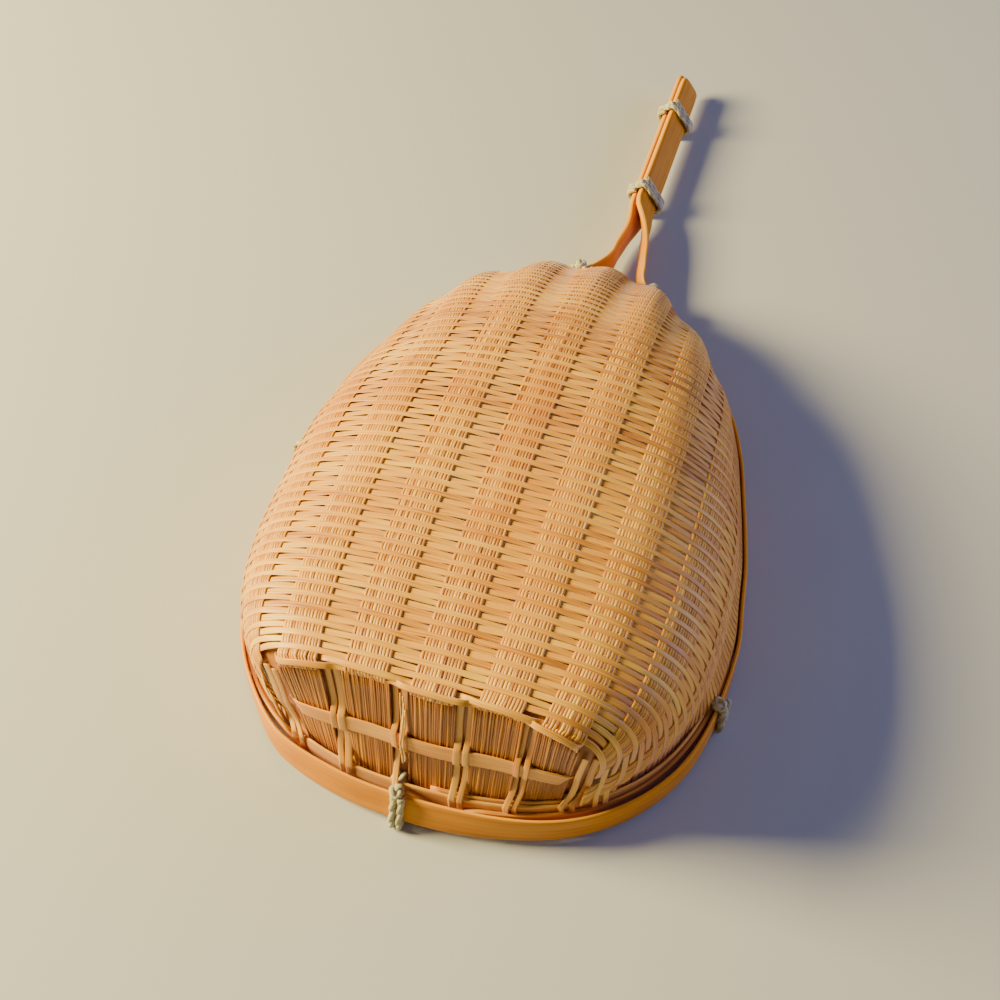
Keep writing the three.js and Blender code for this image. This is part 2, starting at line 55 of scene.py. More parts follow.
# Rim outline, from the frame where the frame gives it
rim_low, rim_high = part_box("rim_hoop_outer")
RIM_HALF_WIDTH = 57
FRONT_Y = rim_low.y
AXIS_X = rim_high.x - RIM_HALF_WIDTH * MM
HOOP_FOOT = rim_low.z / MM
HOOP_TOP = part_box("rim_hoop_inner")[1].z / MM
HOOP_MIDDLE = (HOOP_FOOT + HOOP_TOP) / 2
HANDLE_END_LEFT = (rim_high.y - rim_low.y) / MM
HANDLE_END_RIGHT = HANDLE_END_LEFT - 2.5
MIDDLE_DEPTH = (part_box("rim_hoop_middle")[0].y - FRONT_Y) / MM
INNER_DEPTH = (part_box("rim_hoop_inner")[0].y - FRONT_Y) / MM
RIM_WIDEST_AT = 58
RIM_ROUNDNESS = 2.46
BODY_LENGTH = 165
NECK_HALF_WIDTH = 6.5
BACK_TAPER = 3.2
NECK_EASE = 3
HOOP_THICKNESS = 1.0
INNER_HOOP_THICKNESS = 1.0
HOOP_END_AT = 164

# Handle: the hoop's two ends close up along a fork and roll to the left together
HANDLE_FROM = 197.5
HANDLE_THICKNESS = 2.0
HANDLE_GAP = 0.05
HANDLE_HALF = HANDLE_GAP / 2 + HANDLE_THICKNESS
LEG_OFFSET = (HANDLE_GAP + HANDLE_THICKNESS) / 2
HANDLE_ROLL = radians(36)
LEG_TWIST = radians(14)
ROLL_FROM = 184
FORK_SHIFT = 1.2
FORK_EASING = 1.25
FORK_SHIFT_EASING = 4

# Woven body, on the middle surface of its wall
WALL_DEPTH = 3.7
TAIL_DEPTH = 1.6
WALL_FOOT = 4
FOLD_AT = 7.4
FOLD_HEIGHT = 42.5
TOP_HEIGHT = 45
TOP_AT = 55
BACK_END_AT = 162.5
BACK_END_HEIGHT = 7
BACK_DROP = 2.1
BACK_ROUNDNESS = 1.75
SIDE_ROUNDNESS = 2.55
FRONT_SQUARENESS = 3
FRONT_SQUARE_REACH = 24
SIDE_BULGE = 2.6
CORNER_BULGE = 3
CORNER_REACH = 14
BODY_LEAN = 4.6
LEAN_FROM = 30
RIGHT_SQUEEZE = 1.5
SQUEEZE_AT, SQUEEZE_REACH = 97, 18

# The left side is leaner between these distances from the front, and nearly full again at the neck
LEFT_EASE = 0.5
LEFT_BULGE_LOSS = 0.7
LEFT_EASE_SPAN = 70, 110
LEFT_FULL_SPAN = 115, 145
LEFT_FULL_SHARE = 0.75

# Weave: bands of strands along the body, narrow weavers across it. The numbers of bands are those on each
# side of the middle one: in all, and down the front
SIDE_BANDS = 4
FRONT_BANDS = 2
BAND_PITCH = 15.8
BAND_PITCH_LOSS = 1
BAND_PITCH_REACH = 14
BAND_SHIFT, BAND_SHIFT_TILT, BAND_SHIFT_CURVE = 2.1, -1.05, -0.25
BAND_SHIFT_LIMIT = 2.5
BAND_SHIFT_FROM, BAND_SHIFT_REACH = 12, 27
BAND_PLACE_ROUNDS = 3
BAND_WIDTH = 9.5
FRONT_BAND_WIDTH = 10.2
STRANDS = 13
STRAND_WIDTH = 0.76
STRAND_THICKNESS = 0.34
STRAND_LIFT = 0.16
STRAND_END = 8
FRONT_STRANDS = 23
WEAVER_WIDTH = 1.27
WEAVER_THICKNESS = 0.28
WEAVER_LIFT = 0.16
ROW_PITCH_FOLD = 1.5
ROW_PITCH_FRONT = 1.43
ROW_PITCH_BACK = 1.63
ROW_PITCH_NECK = 1.2
FRONT_ROWS_SPAN = 16, 24
BACK_ROWS_SPAN = 52, 66
NECK_ROWS_SPAN = 105, 128
FIRST_ROW = 0.25
LAST_ROW_ABOVE_HOOP = 1.5
FOLD_ROWS = 2
FOLD_WAVE = 1.3
CAD_WEAVERS = 26
CAD_WEAVER_FIRST = 12.2
CAD_WEAVER_PITCH = 5.6
RIB_FRONT = 0.25
RIB_BACK = 1.7
RIB_SPAN = 100, 160
RIB_FADE = 8
FRONT_WALL_TAPER = 0.93

TWINE_DIAMETER = 1.8
HANDLE_TWINE_DIAMETER = 1.5


def mix(a, b, t):
    return a + (b - a) * t


def clamp(value, low=0.0, high=1.0):
    return max(low, min(high, value))


def eased(low, high, value):
    """A smooth rise from 0 at the low value to 1 at the high one."""
    t = clamp((value - low) / (high - low))
    return t * t * (3 - 2 * t)


def to_frame(p):
    """A place in millimetres from the rim's front, in the frame's metres."""
    return Vector((p.x * MM + AXIS_X, p.y * MM + FRONT_Y, p.z * MM))


def wobble(along, seed, reach):
    """Slow, repeatable unevenness between about -1 and 1."""
    return noise.noise(Vector((along / reach, seed * 3.7, seed * 1.3)))


def uneven(spread):
    """A random amount, up to the spread either way."""
    return rng.uniform(-spread, spread)


# Body surface


def rim_half(y, side):
    """The rim's half width at y. The right side is drawn in a little behind the middle."""
    squeeze = RIGHT_SQUEEZE * exp(-(((y - SQUEEZE_AT) / SQUEEZE_REACH) ** 2)) if side > 0 else 0.0
    if y < RIM_WIDEST_AT:
        ahead = (RIM_WIDEST_AT - y) / RIM_WIDEST_AT
        return RIM_HALF_WIDTH * (1 - ahead**RIM_ROUNDNESS) ** (1 / RIM_ROUNDNESS) - squeeze
    behind = min((y - RIM_WIDEST_AT) / (BODY_LENGTH - RIM_WIDEST_AT), 1)
    return NECK_HALF_WIDTH + (RIM_HALF_WIDTH - NECK_HALF_WIDTH) * (1 - behind**BACK_TAPER) - squeeze


def lean(y):
    """The body's middle line swings to the left towards the back."""
    along = clamp((y - LEAN_FROM) / (BODY_LENGTH - LEAN_FROM))
    return -BODY_LEAN * sin(pi * along**2)


def crown_height(y):
    if y < TOP_AT:
        ahead = (TOP_AT - y) / (TOP_AT - FOLD_AT)
        return TOP_HEIGHT - (TOP_HEIGHT - FOLD_HEIGHT) * ahead**2
    behind = min((y - TOP_AT) / (BACK_END_AT - TOP_AT), 1)
    share = (1 - behind**BACK_DROP) ** (1 / BACK_ROUNDNESS)
    return BACK_END_HEIGHT + (TOP_HEIGHT - BACK_END_HEIGHT) * share


SECTION_STEPS = 160
sections = {}


def section(y):
    """Places round the body at y from left to right, and their arc lengths from the axis plane."""
    if y in sections:
        return sections[y]
    ease = eased(*LEFT_EASE_SPAN, y) * (1 - LEFT_FULL_SHARE * eased(*LEFT_FULL_SPAN, y))
    squareness = FRONT_SQUARENESS * exp(-y / FRONT_SQUARE_REACH)
    corner_bulge = CORNER_BULGE * exp(-(y - FOLD_AT) / CORNER_REACH)
    rise = crown_height(y) - WALL_FOOT
    places = []
    for i in range(SECTION_STEPS + 1):
        angle = pi * i / SECTION_STEPS
        side = -copysign(1, cos(angle))
        left_ease = ease if side < 0 else 0.0
        half = rim_half(y, side) - WALL_DEPTH
        power = 2 / (SIDE_ROUNDNESS - LEFT_EASE * left_ease + squareness)
        bulge = SIDE_BULGE * (1 - LEFT_BULGE_LOSS * left_ease) + corner_bulge
        across = half * abs(cos(angle)) ** power + bulge * abs(sin(2 * angle))
        places.append(Vector((lean(y) + side * across, y, WALL_FOOT + rise * sin(angle) ** power)))
    arcs = [0.0]
    axis_arc = 0.0
    for before, after in zip(places, places[1:]):
        length = (after - before).length
        if before.x < 0 <= after.x:
            axis_arc = arcs[-1] + length * before.x / (before.x - after.x)
        arcs.append(arcs[-1] + length)
    sections[y] = places, [arc - axis_arc for arc in arcs]
    return sections[y]


def wall(y, arc):
    """The place on the body at y and at an arc length from the axis plane."""
    places, arcs = section(y)
    i = clamp(bisect.bisect(arcs, arc), 1, len(arcs) - 1)
    return places[i - 1].lerp(places[i], (arc - arcs[i - 1]) / (arcs[i] - arcs[i - 1]))


def arcs_at_height(y, height):
    """Arc lengths at which the wall comes down to a height, on the left and on the right."""
    places, arcs = section(y)
    above = [i for i, p in enumerate(places) if p.z >= height]

    def crossing(low, high):
        share = (height - places[low].z) / (places[high].z - places[low].z)
        return mix(arcs[low], arcs[high], share)

    return crossing(above[0] - 1, above[0]), crossing(above[-1] + 1, above[-1])


SLOPE_STEP = 0.4


class Spot:
    """A place on a wall with its directions: across the body, along it, and out of it."""

    def __init__(self, place, across, along):
        self.place = place
        self.across = across.normalized()
        self.out = self.across.cross(along).normalized()
        self.along = self.out.cross(self.across)

    def off(self, out=0.0, along=0.0, across=0.0):
        return self.place + self.out * out + self.along * along + self.across * across


def band_pitch(y):
    return BAND_PITCH - BAND_PITCH_LOSS * exp(-(y - FOLD_AT) / BAND_PITCH_REACH)


def band_arc(along, y):
    """The arc length at a place in bands from the middle one. At the front the bands lie further right."""
    near = clamp(along, -BAND_SHIFT_LIMIT, BAND_SHIFT_LIMIT)
    shift = BAND_SHIFT + BAND_SHIFT_TILT * near + BAND_SHIFT_CURVE * near**2
    return along * band_pitch(y) + shift * exp(-max(y - BAND_SHIFT_FROM, 0) / BAND_SHIFT_REACH)


def band_place(y, arc):
    """The place in bands from the middle one at an arc length."""
    along = arc / band_pitch(y)
    for _ in range(BAND_PLACE_ROUNDS):
        along += (arc - band_arc(along, y)) / band_pitch(y)
    return along


def rib(y, arc, height):
    """The bands stand out as ribs, more so towards the back."""
    along = band_place(y, arc)
    if abs(along) > SIDE_BANDS + 0.5:
        return 0.0
    rise = mix(RIB_FRONT, RIB_BACK, eased(*RIB_SPAN, y))
    return rise * (0.5 * cos(2 * pi * along)) * eased(HOOP_TOP, HOOP_TOP + RIB_FADE, height)


def body_spot(y, arc):
    """The place on the ribbed body at y and at an arc length, with its directions."""
    place = wall(y, arc)
    across = wall(y, arc + SLOPE_STEP) - wall(y, arc - SLOPE_STEP)
    along = wall(y + SLOPE_STEP, arc) - wall(y - SLOPE_STEP, arc)
    spot = Spot(place, across, along)
    spot.place = spot.off(out=rib(y, arc, place.z))
    return spot


# Rim outline, from the right handle tip round the front to the left one


def smooth_path(points, step):
    """Points about a step apart on a smooth curve through the given ones."""
    ends = [points[0] * 2 - points[1], *points, points[-1] * 2 - points[-2]]
    path = []
    for a, b, c, d in zip(ends, ends[1:], ends[2:], ends[3:]):
        count = max(1, round((c - b).length / step))
        for i in range(count):
            t = i / count
            curve = b * 2 + (c - a) * t + (a * 2 - b * 5 + c * 4 - d) * t**2 + (b * 3 - a - c * 3 + d) * t**3
            path.append(curve / 2)
    path.append(points[-1])
    return path


def run_at(path, i):
    """The direction of a path at one of its places, between the places next to it."""
    return path[min(i + 1, len(path) - 1)] - path[max(i - 1, 0)]


def half_outline(side, tip):
    """The rim's outline on one side, from beside the front's middle to the handle's tip."""
    points = []
    front_steps, back_steps, fork_steps, handle_steps = 12, 10, 5, 4
    for i in range(1, front_steps + 1):
        turn = max(cos(pi / 2 * i / front_steps), 0)
        y = RIM_WIDEST_AT * (1 - turn ** (2 / RIM_ROUNDNESS))
        points.append(Vector((side * rim_half(y, side), y, 0)))
    for i in range(1, back_steps + 1):
        y = mix(RIM_WIDEST_AT, BODY_LENGTH - NECK_EASE, i / back_steps)
        points.append(Vector((lean(y) + side * rim_half(y, side), y, 0)))
    for i in range(1, fork_steps + 1):
        along = i / fork_steps
        half = HANDLE_HALF + (NECK_HALF_WIDTH - HANDLE_HALF) * (1 - along) ** FORK_EASING
        shift = FORK_SHIFT * (1 - along**FORK_SHIFT_EASING)
        points.append(Vector((shift + side * half, mix(BODY_LENGTH, HANDLE_FROM, along), 0)))
    for i in range(1, handle_steps + 1):
        points.append(Vector((side * HANDLE_HALF, mix(HANDLE_FROM, tip, i / handle_steps), 0)))
    return points


OUTLINE_STEP = 2.0
outline_points = [
    *reversed(half_outline(1, HANDLE_END_RIGHT)),
    Vector((0, 0, 0)),
    *half_outline(-1, HANDLE_END_LEFT),
]
outline = smooth_path(outline_points, OUTLINE_STEP)


class RimSpot:
    """A place on the rim's outer outline, with the direction along it and inwards."""

    def __init__(self, place, run):
        self.place = place
        self.run = run.normalized()
        self.inward = Vector((self.run.y, -self.run.x, 0))

    def at(self, depth, height):
        spot = self.place + self.inward * depth
        spot.z = height
        return spot


rim_spots = [RimSpot(place, run_at(outline, i)) for i, place in enumerate(outline)]


def between(first, second, share):
    return RimSpot(first.place.lerp(second.place, share), first.run.lerp(second.run, share))


def on_rim(y, side):
    """The rim at a distance from the front, on the right (1) or left (-1) side."""
    spots = rim_spots if side > 0 else rim_spots[::-1]
    i = next(i for i, spot in enumerate(spots) if spot.place.y <= y)
    a, b = spots[i - 1], spots[i]
    return between(a, b, (a.place.y - y) / (a.place.y - b.place.y))


def nearest_rim(place):
    """The rim at its place nearest to another."""
    flat = Vector((place.x, place.y, 0))
    i = min(range(1, len(rim_spots) - 1), key=lambda i: (rim_spots[i].place - flat).length)
    ahead = (flat - rim_spots[i].place).dot(rim_spots[i].run)
    neighbour = rim_spots[i + 1 if ahead > 0 else i - 1]
    reach = (neighbour.place - rim_spots[i].place).length
    return between(rim_spots[i], neighbour, clamp(abs(ahead) / reach))


def on_front(x):
    """The rim's front half at a distance from the axis, to the right if positive."""
    i = next(i for i, spot in enumerate(rim_spots) if spot.place.x <= x and spot.place.y < RIM_WIDEST_AT)
    a, b = rim_spots[i - 1], rim_spots[i]
    return between(a, b, (a.place.x - x) / (a.place.x - b.place.x))


# Front wall: straight lines from the fold down to the hoops


def fold_at(arc):
    """The fold lies further back at every second band, where the second fold strip crosses it."""
    along = band_place(FOLD_AT, arc)
    if abs(along) > FRONT_BANDS:
        return FOLD_AT
    return FOLD_AT + FOLD_WAVE * (1 - cos(pi * along)) / 2


def front_place(arc, drop):
    """The place on the front wall at a share of the way down from the fold."""
    top = wall(fold_at(arc), arc)
    foot = on_front(top.x * FRONT_WALL_TAPER).at(WALL_DEPTH, HOOP_TOP)
    return top.lerp(foot, drop)


def front_spot(arc, drop):
    place = front_place(arc, drop)
    across = front_place(arc + SLOPE_STEP, drop) - front_place(arc - SLOPE_STEP, drop)
    upwards = front_place(arc, 0) - front_place(arc, 1)
    return Spot(place, across, upwards)


# Strips: a grid wrapped round a section at each station of the strip's run


def round_section(sides, squareness):
    """Points round a section from -1 to 1 both ways, rounder or squarer."""
    points = []
    for i in range(sides):
        angle = 2 * pi * (i + 0.5) / sides
        parts = cos(angle), sin(angle)
        points.append([copysign(abs(part) ** (2 / squareness), part) for part in parts])
    return points


WEAVER_SECTION = round_section(8, 6)
STRAND_SECTION = round_section(6, 3)
HOOP_SECTION = round_section(12, 7)
SKIN_SECTION = round_section(16, 4.5)
TWINE_SECTION = round_section(8, 2)
EDGE_SHARE = 0.95
GRAIN_SHIFT_ALONG, GRAIN_SHIFT_THROUGH = 37, 11
SEAM_GAP = 1e-8


@dataclass
class Station:
    """One place on a strip's run: its width and thickness directions and its two sizes."""

    place: Vector
    wide: Vector
    out: Vector
    width: float
    thickness: float


def put_in_scene(name, data):
    obj = bpy.data.objects.new(name, data)
    bpy.context.scene.collection.objects.link(obj)
    return obj


def mesh_object(name, bm, finish):
    mesh = bpy.data.meshes.new(name)
    bm.to_mesh(mesh)
    bm.free()
    mesh.materials.append(finish)
    return put_in_scene(name, mesh)


class Piece:
    """One piece of the basket in the making: strips gathered in one mesh."""

    def __init__(self, name):
        self.name = name
        self.bm = bmesh.new()
        self.grain = self.bm.verts.layers.float_vector.new("grain")
        self.tint = self.bm.verts.layers.float.new("tint")
        self.seed = 0

    def strip(self, stations, shape, tint, edge_tint=None):
        """Adds a closed strip through the stations. Its grain runs along it, in millimetres."""
        count, sides = len(stations), len(shape)
        self.seed += 1
        lengths = [0.0]
        for before, after in zip(stations, stations[1:]):
            lengths.append(lengths[-1] + (after.place - before.place).length)
        made = bmesh.ops.create_grid(self.bm, x_segments=count - 1, y_segments=sides, size=1)["verts"]
        seam = []
        for vert in made:
            i = round((vert.co.x + 1) / 2 * (count - 1))
            j = round((vert.co.y + 1) / 2 * sides)
            if j in (0, sides):
                seam.append(vert)
            station = stations[i]
            across = shape[j % sides][0] * station.width / 2
            through = shape[j % sides][1] * station.thickness / 2
            vert.co = to_frame(station.place + station.wide * across + station.out * through)
            grain_along = lengths[i] + GRAIN_SHIFT_ALONG * self.seed
            vert[self.grain] = (grain_along, across, through + GRAIN_SHIFT_THROUGH * self.seed)
            on_edge = edge_tint is not None and abs(shape[j % sides][0]) > EDGE_SHARE
            vert[self.tint] = edge_tint if on_edge else tint
        bmesh.ops.remove_doubles(self.bm, verts=seam, dist=SEAM_GAP)
        edges = {edge for vert in made if vert.is_valid for edge in vert.link_edges if edge.is_boundary}
        bmesh.ops.holes_fill(self.bm, edges=list(edges), sides=sides)

    def finish(self, finish, slot, node):
        """Makes the object, gives it its finish and fits it to the frame."""
        bmesh.ops.recalc_face_normals(self.bm, faces=self.bm.faces)
        for face in self.bm.faces:
            face.smooth = True
        piece = mesh_object(self.name, self.bm, finish)
        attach(piece, "root")
        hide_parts(node)


def strip_through(places, widths, width, thickness):
    """Stations through places, square to the run, with the given directions of the width."""
    stations = []
    for i, place in enumerate(places):
        run = run_at(places, i).normalized()
        wide = (widths[i] - run * widths[i].dot(run)).normalized()
        stations.append(Station(place, wide, wide.cross(run).normalized(), width, thickness))
    return stations


# Finishes


class Wire:
    """A shader value that can be used in sums."""

    def __init__(self, finish, socket):
        self.finish = finish
        self.socket = socket

    def math(self, operation, first, second):
        return self.finish.node("ShaderNodeMath", {"operation": operation}, {0: first, 1: second})

    def __add__(self, other):
        return self.math("ADD", self, other)

    def __sub__(self, other):
        return self.math("SUBTRACT", self, other)

    def __rsub__(self, other):
        return self.math("SUBTRACT", other, self)

    def __mul__(self, other):
        return self.math("MULTIPLY", self, other)

    __radd__ = __add__
    __rmul__ = __mul__


class Finish:
    """A material in the making, with one method for any node."""

    def __init__(self, name):
        self.material = bpy.data.materials.new(name)
        self.material.use_nodes = True
        self.tree = self.material.node_tree
        self.shader = self.tree.nodes["Principled BSDF"]

    def node(self, kind, settings=None, sockets=None, output=0):
        """Adds a node, sets it, and gives the values or links of its sockets."""
        made = self.tree.nodes.new(kind)
        for key, value in (settings or {}).items():
            if key == "stops":
                self.set_stops(made.color_ramp, value)
            else:
                setattr(made, key, value)
        for key, value in (sockets or {}).items():
            self.feed(made.inputs[key], value)
        return Wire(self, made.outputs[output])

    def set_stops(self, ramp, stops):
        while len(ramp.elements) < len(stops):
            ramp.elements.new(1.0)
        for element, (place, colour) in zip(ramp.elements, stops):
            element.position = place
            element.color = (*colour, 1)

    def feed(self, socket, value):
        if isinstance(value, Wire):
            self.tree.links.new(value.socket, socket)
        else:
            socket.default_value = value

    def attribute(self, name, output):
        return self.node("ShaderNodeAttribute", {"attribute_name": name}, output=output)

    def noise(self, vector, scale, detail):
        return self.node("ShaderNodeTexNoise", {}, {"Vector": vector, "Scale": scale, "Detail": detail})

    def grain(self, scale, detail):
        """Noise drawn out along the strip's grain."""
        grain = self.attribute("grain", "Vector")
        scaled = self.node("ShaderNodeVectorMath", {"operation": "MULTIPLY"}, {0: grain, 1: scale})
        return self.noise(scaled, 1.0, detail)

    def ramp(self, factor, stops):
        return self.node("ShaderNodeValToRGB", {"stops": stops}, {"Fac": factor})

    def blend(self, factor, first, second):
        sockets = {0: factor, 6: first, 7: second}
        return self.node("ShaderNodeMix", {"data_type": "RGBA"}, sockets, output=2)

    def bump(self, height, strength, distance):
        sockets = {"Strength": strength, "Distance": distance, "Height": height}
        return self.node("ShaderNodeBump", {}, sockets)

    def shade(self, **sockets):
        for key, value in sockets.items():
            self.feed(self.shader.inputs[key.replace("_", " ")], value)
        return self.material


# Sheen with a bluish tint: a painted lilac reflection of cool light on the strips' grazing sides, whatever
# lamp falls on them
SHEEN_ROUGHNESS = 0.4
PAINTED_LILAC_SHEEN_TINT = (0.70, 0.70, 1.0, 1)


def split_bamboo(name, colours, patch_colour, roughness, painted_sheen):
    """Split strips: fibres along the run, each strip a little different, with slow patches of colour, and a
    bluish sheen that paints a lilac reflection on their grazing sides.
    """
    finish = Finish(name)
    tint = finish.attribute("tint", "Fac")
    place = finish.node("ShaderNodeTexCoord", output="Object")
    fibres = finish.grain((0.06, 2.6, 2.6), 4.0)
    drift = finish.grain((0.04, 0.1, 0.1), 2.0)
    patches = finish.noise(place, 34.0, 3.0)
    shade = tint * 0.5 + fibres * 1.5 + drift * 0.9 - 0.95
    colour = finish.ramp(shade, list(zip((0.1, 0.37, 0.63, 0.9), colours)))
    mask = finish.ramp(patches, [(0.48, (0, 0, 0)), (0.68, (1, 1, 1))])
    patched = finish.blend(mask * 0.6, colour, (*patch_colour, 1))
    rough = fibres * 0.4 + (roughness - 0.2)
    normal = finish.bump(fibres, 0.7, 0.00015)
    finish.shade(Sheen_Weight=painted_sheen, Sheen_Roughness=SHEEN_ROUGHNESS, Sheen_Tint=PAINTED_LILAC_SHEEN_TINT)
    return finish.shade(Base_Color=patched, Roughness=rough, Normal=normal)


def bamboo_skin(name):
    """The hoop's smooth orange skin, paler along its cut edges."""
    finish = Finish(name)
    streaks = finish.grain((0.02, 1.4, 1.4), 4.0)
    fibres = finish.grain((0.05, 6.0, 6.0), 2.0)
    mottle = finish.grain((0.06, 0.2, 0.2), 3.0)
    colour = finish.ramp(
        streaks * 0.6 + mottle * 0.5 - 0.05,
        [(0.25, (0.42, 0.13, 0.002)), (0.5, (0.66, 0.24, 0.003)), (0.75, (0.80, 0.34, 0.006))],
    )
    edge = finish.attribute("tint", "Fac")
    coloured = finish.blend(edge * 0.8, colour, (0.90, 0.42, 0.03, 1))
    rough = fibres * 0.2 + 0.32
    normal = finish.bump(streaks + fibres * 0.5, 0.2, 0.0001)
    return finish.shade(Base_Color=coloured, Roughness=rough, Normal=normal, Specular_IOR_Level=0.2)


def twine_fibre(name):
    """Grey-brown twine, fibrous and dull."""
    finish = Finish(name)
    place = finish.node("ShaderNodeTexCoord", output="Object")
    fibres = finish.grain((1.2, 5.0, 5.0), 3.0)
    dust = finish.noise(place, 500.0, 2.0)
    colour = finish.ramp(
        fibres * 0.7 + dust * 0.4,
        [(0.3, (0.20, 0.18, 0.10)), (0.52, (0.50, 0.45, 0.28)), (0.75, (0.76, 0.71, 0.50))],
    )
    normal = finish.bump(fibres, 0.6, 0.0002)
    return finish.shade(Base_Color=colour, Roughness=0.9, Normal=normal)


def pale_floor(name):
    finish = Finish(name)
    place = finish.node("ShaderNodeTexCoord", output="Object")
    cloud = finish.noise(place, 3.0, 2.0)
    colour = finish.ramp(cloud, [(0.3, (0.50, 0.52, 0.55)), (0.7, (0.54, 0.56, 0.59))])
    return finish.shade(Base_Color=colour, Roughness=0.8)


# The last number given to each finish is the weight of its painted lilac sheen
weaver_finish = split_bamboo(
    "weaver_bamboo",
    [(0.46, 0.16, 0.008), (0.76, 0.32, 0.018), (0.88, 0.43, 0.03), (0.97, 0.58, 0.06)],
    (0.72, 0.27, 0.012),
    0.42,
    0.35,
)
strand_finish = split_bamboo(
    "strand_bamboo",
    [(0.32, 0.10, 0.007), (0.68, 0.27, 0.014), (0.86, 0.41, 0.026), (0.96, 0.55, 0.05)],
    (0.70, 0.25, 0.010),
    0.45,
    0.15,
)
pale_finish = split_bamboo(
    "pale_bamboo",
    [(0.46, 0.16, 0.016), (0.76, 0.33, 0.042), (0.88, 0.46, 0.08), (0.96, 0.61, 0.15)],
    (0.62, 0.23, 0.02),
    0.42,
    0.2,
)
cross_finish = split_bamboo(
    "cross_strip_bamboo",
    [(0.56, 0.18, 0.018), (0.82, 0.33, 0.042), (0.92, 0.44, 0.07), (0.97, 0.57, 0.13)],
    (0.72, 0.25, 0.02),
    0.42,
    0.1,
)
hoop_finish = bamboo_skin("hoop_bamboo")
twine_finish = twine_fibre("twine")


# Weaver rows


def row_places():
    """Distances from the front at which the rows cross the crown, evenly spaced along its curve."""
    places = []
    y = FOLD_AT + FIRST_ROW
    step = 0.02
    while crown_height(y) > HOOP_TOP + LAST_ROW_ABOVE_HOOP:
        places.append(y)
        pitch = mix(ROW_PITCH_FOLD, ROW_PITCH_FRONT, eased(*FRONT_ROWS_SPAN, y))
        pitch = mix(pitch, ROW_PITCH_BACK, eased(*BACK_ROWS_SPAN, y))
        pitch = mix(pitch, ROW_PITCH_NECK, eased(*NECK_ROWS_SPAN, y))
        travelled = 0.0
        while travelled < pitch:
            travelled += hypot(step, crown_height(y + step) - crown_height(y))
            y += step
    return places


rows = row_places()
BAND_PARTS = (-0.5, -0.41, -0.35, -0.3, -0.15, 0.0, 0.15, 0.3, 0.35, 0.41)
BAND_EDGE = 0.31
GAP_MIDDLE = 0.42
GAP_SPREAD = 0.1
WEAVER_SWAY, WEAVER_SWAY_REACH = 0.15, 9
TAIL_HEIGHTS = (HOOP_TOP + 7, HOOP_TOP + 4, HOOP_TOP + 2, HOOP_TOP + 0.3, HOOP_TOP - 2, 5.5)
TAIL_MARGIN = 1
TUCK_SPAN = HOOP_TOP + 0.5, HOOP_TOP + 7
LEFT_TAILS_SPAN = 40, 60
RIGHT_TAILS_SPAN = 12, 15
RIGHT_TAILS_END = 30, 44

# Tones of the rows, from 0 for dark to 1 for pale
ROW_TONE = 0.45
ROW_DRIFT, ROW_DRIFT_SEED, ROW_DRIFT_REACH = 0.75, 5, 5
ROW_SPREAD = 0.15
FIRST_ROWS_PALER = 0.35
FIRST_ROWS_SPAN = 5, 12


def over(band, row):
    """Whether a row goes over a band (1) or under it (-1)."""
    return -1 if (band + row) % 2 else 1


def weave_lift(along, row):
    """How far out a weaver lies at a place in bands from the middle: out over a band, in under the next."""
    band = round(along)
    if abs(band) > SIDE_BANDS:
        return 0.0
    return over(band, row) * WEAVER_LIFT * clamp((0.5 - abs(along - band)) / (0.5 - BAND_EDGE))


def tail_depth(y, side):
    """Weavers end behind the outer hoop, but those past the front corners behind the middle one."""
    if side < 0:
        return mix(WALL_DEPTH, TAIL_DEPTH, eased(*LEFT_TAILS_SPAN, y))
    deep = eased(*RIGHT_TAILS_SPAN, y) * (1 - eased(*RIGHT_TAILS_END, y))
    return mix(TAIL_DEPTH, WALL_DEPTH, deep)


def tuck(y, side, arc, height):
    """A weaver's end on its way down behind the hoops."""
    spot = body_spot(y, arc)
    rim = nearest_rim(spot.place)
    share = 1 - eased(*TUCK_SPAN, height)
    place = spot.place.lerp(rim.at(tail_depth(y, side), height), share)
    return place, spot.along.lerp(rim.run * -side, share)


def weaver_stations(row):
    """Stations of one weaver, from its left end behind the hoops over the body to its right one."""
    y = rows[row]
    width = WEAVER_WIDTH * rng.uniform(0.9, 1.1)
    heights = [z for z in TAIL_HEIGHTS if z < crown_height(y) - TAIL_MARGIN]
    tails = [arcs_at_height(y, z) for z in heights]
    left_end, right_end = tails[0]
    knots = [(*tuck(y, -1, left, z), 1.0) for z, (left, _) in zip(heights, tails)][::-1]
    for band in range(-SIDE_BANDS - 1, SIDE_BANDS + 2):
        for part in BAND_PARTS:
            arc = band_arc(band + part, y)
            if left_end + TAIL_MARGIN < arc < right_end - TAIL_MARGIN:
                spot = body_spot(y, arc)
                shift = WEAVER_SWAY * wobble(arc, row, WEAVER_SWAY_REACH)
                spread = 1 + GAP_SPREAD * eased(BAND_EDGE, GAP_MIDDLE, abs(part))
                place = spot.off(out=weave_lift(band + part, row), along=shift)
                knots.append((place, spot.along, spread))
    knots += [(*tuck(y, 1, right, z), 1.0) for z, (_, right) in zip(heights, tails)]
    places, widths, spreads = zip(*knots)
    stations = strip_through(places, widths, width, WEAVER_THICKNESS)
    for station, spread in zip(stations, spreads):
        station.width *= spread
    return stations


def row_tint(row):
    """Rows woven from one strip share its tone; the first rows are pale."""
    tone = ROW_TONE + ROW_DRIFT * wobble(row, ROW_DRIFT_SEED, ROW_DRIFT_REACH)
    paler = FIRST_ROWS_PALER * (1 - eased(*FIRST_ROWS_SPAN, row))
    return clamp(tone + paler + uneven(ROW_SPREAD))


def cad_weaver(y):
    """The number of the frame's broad weaver at a distance from the front."""
    return round(clamp((y - CAD_WEAVER_FIRST) / CAD_WEAVER_PITCH, 0, CAD_WEAVERS - 1)) + 1


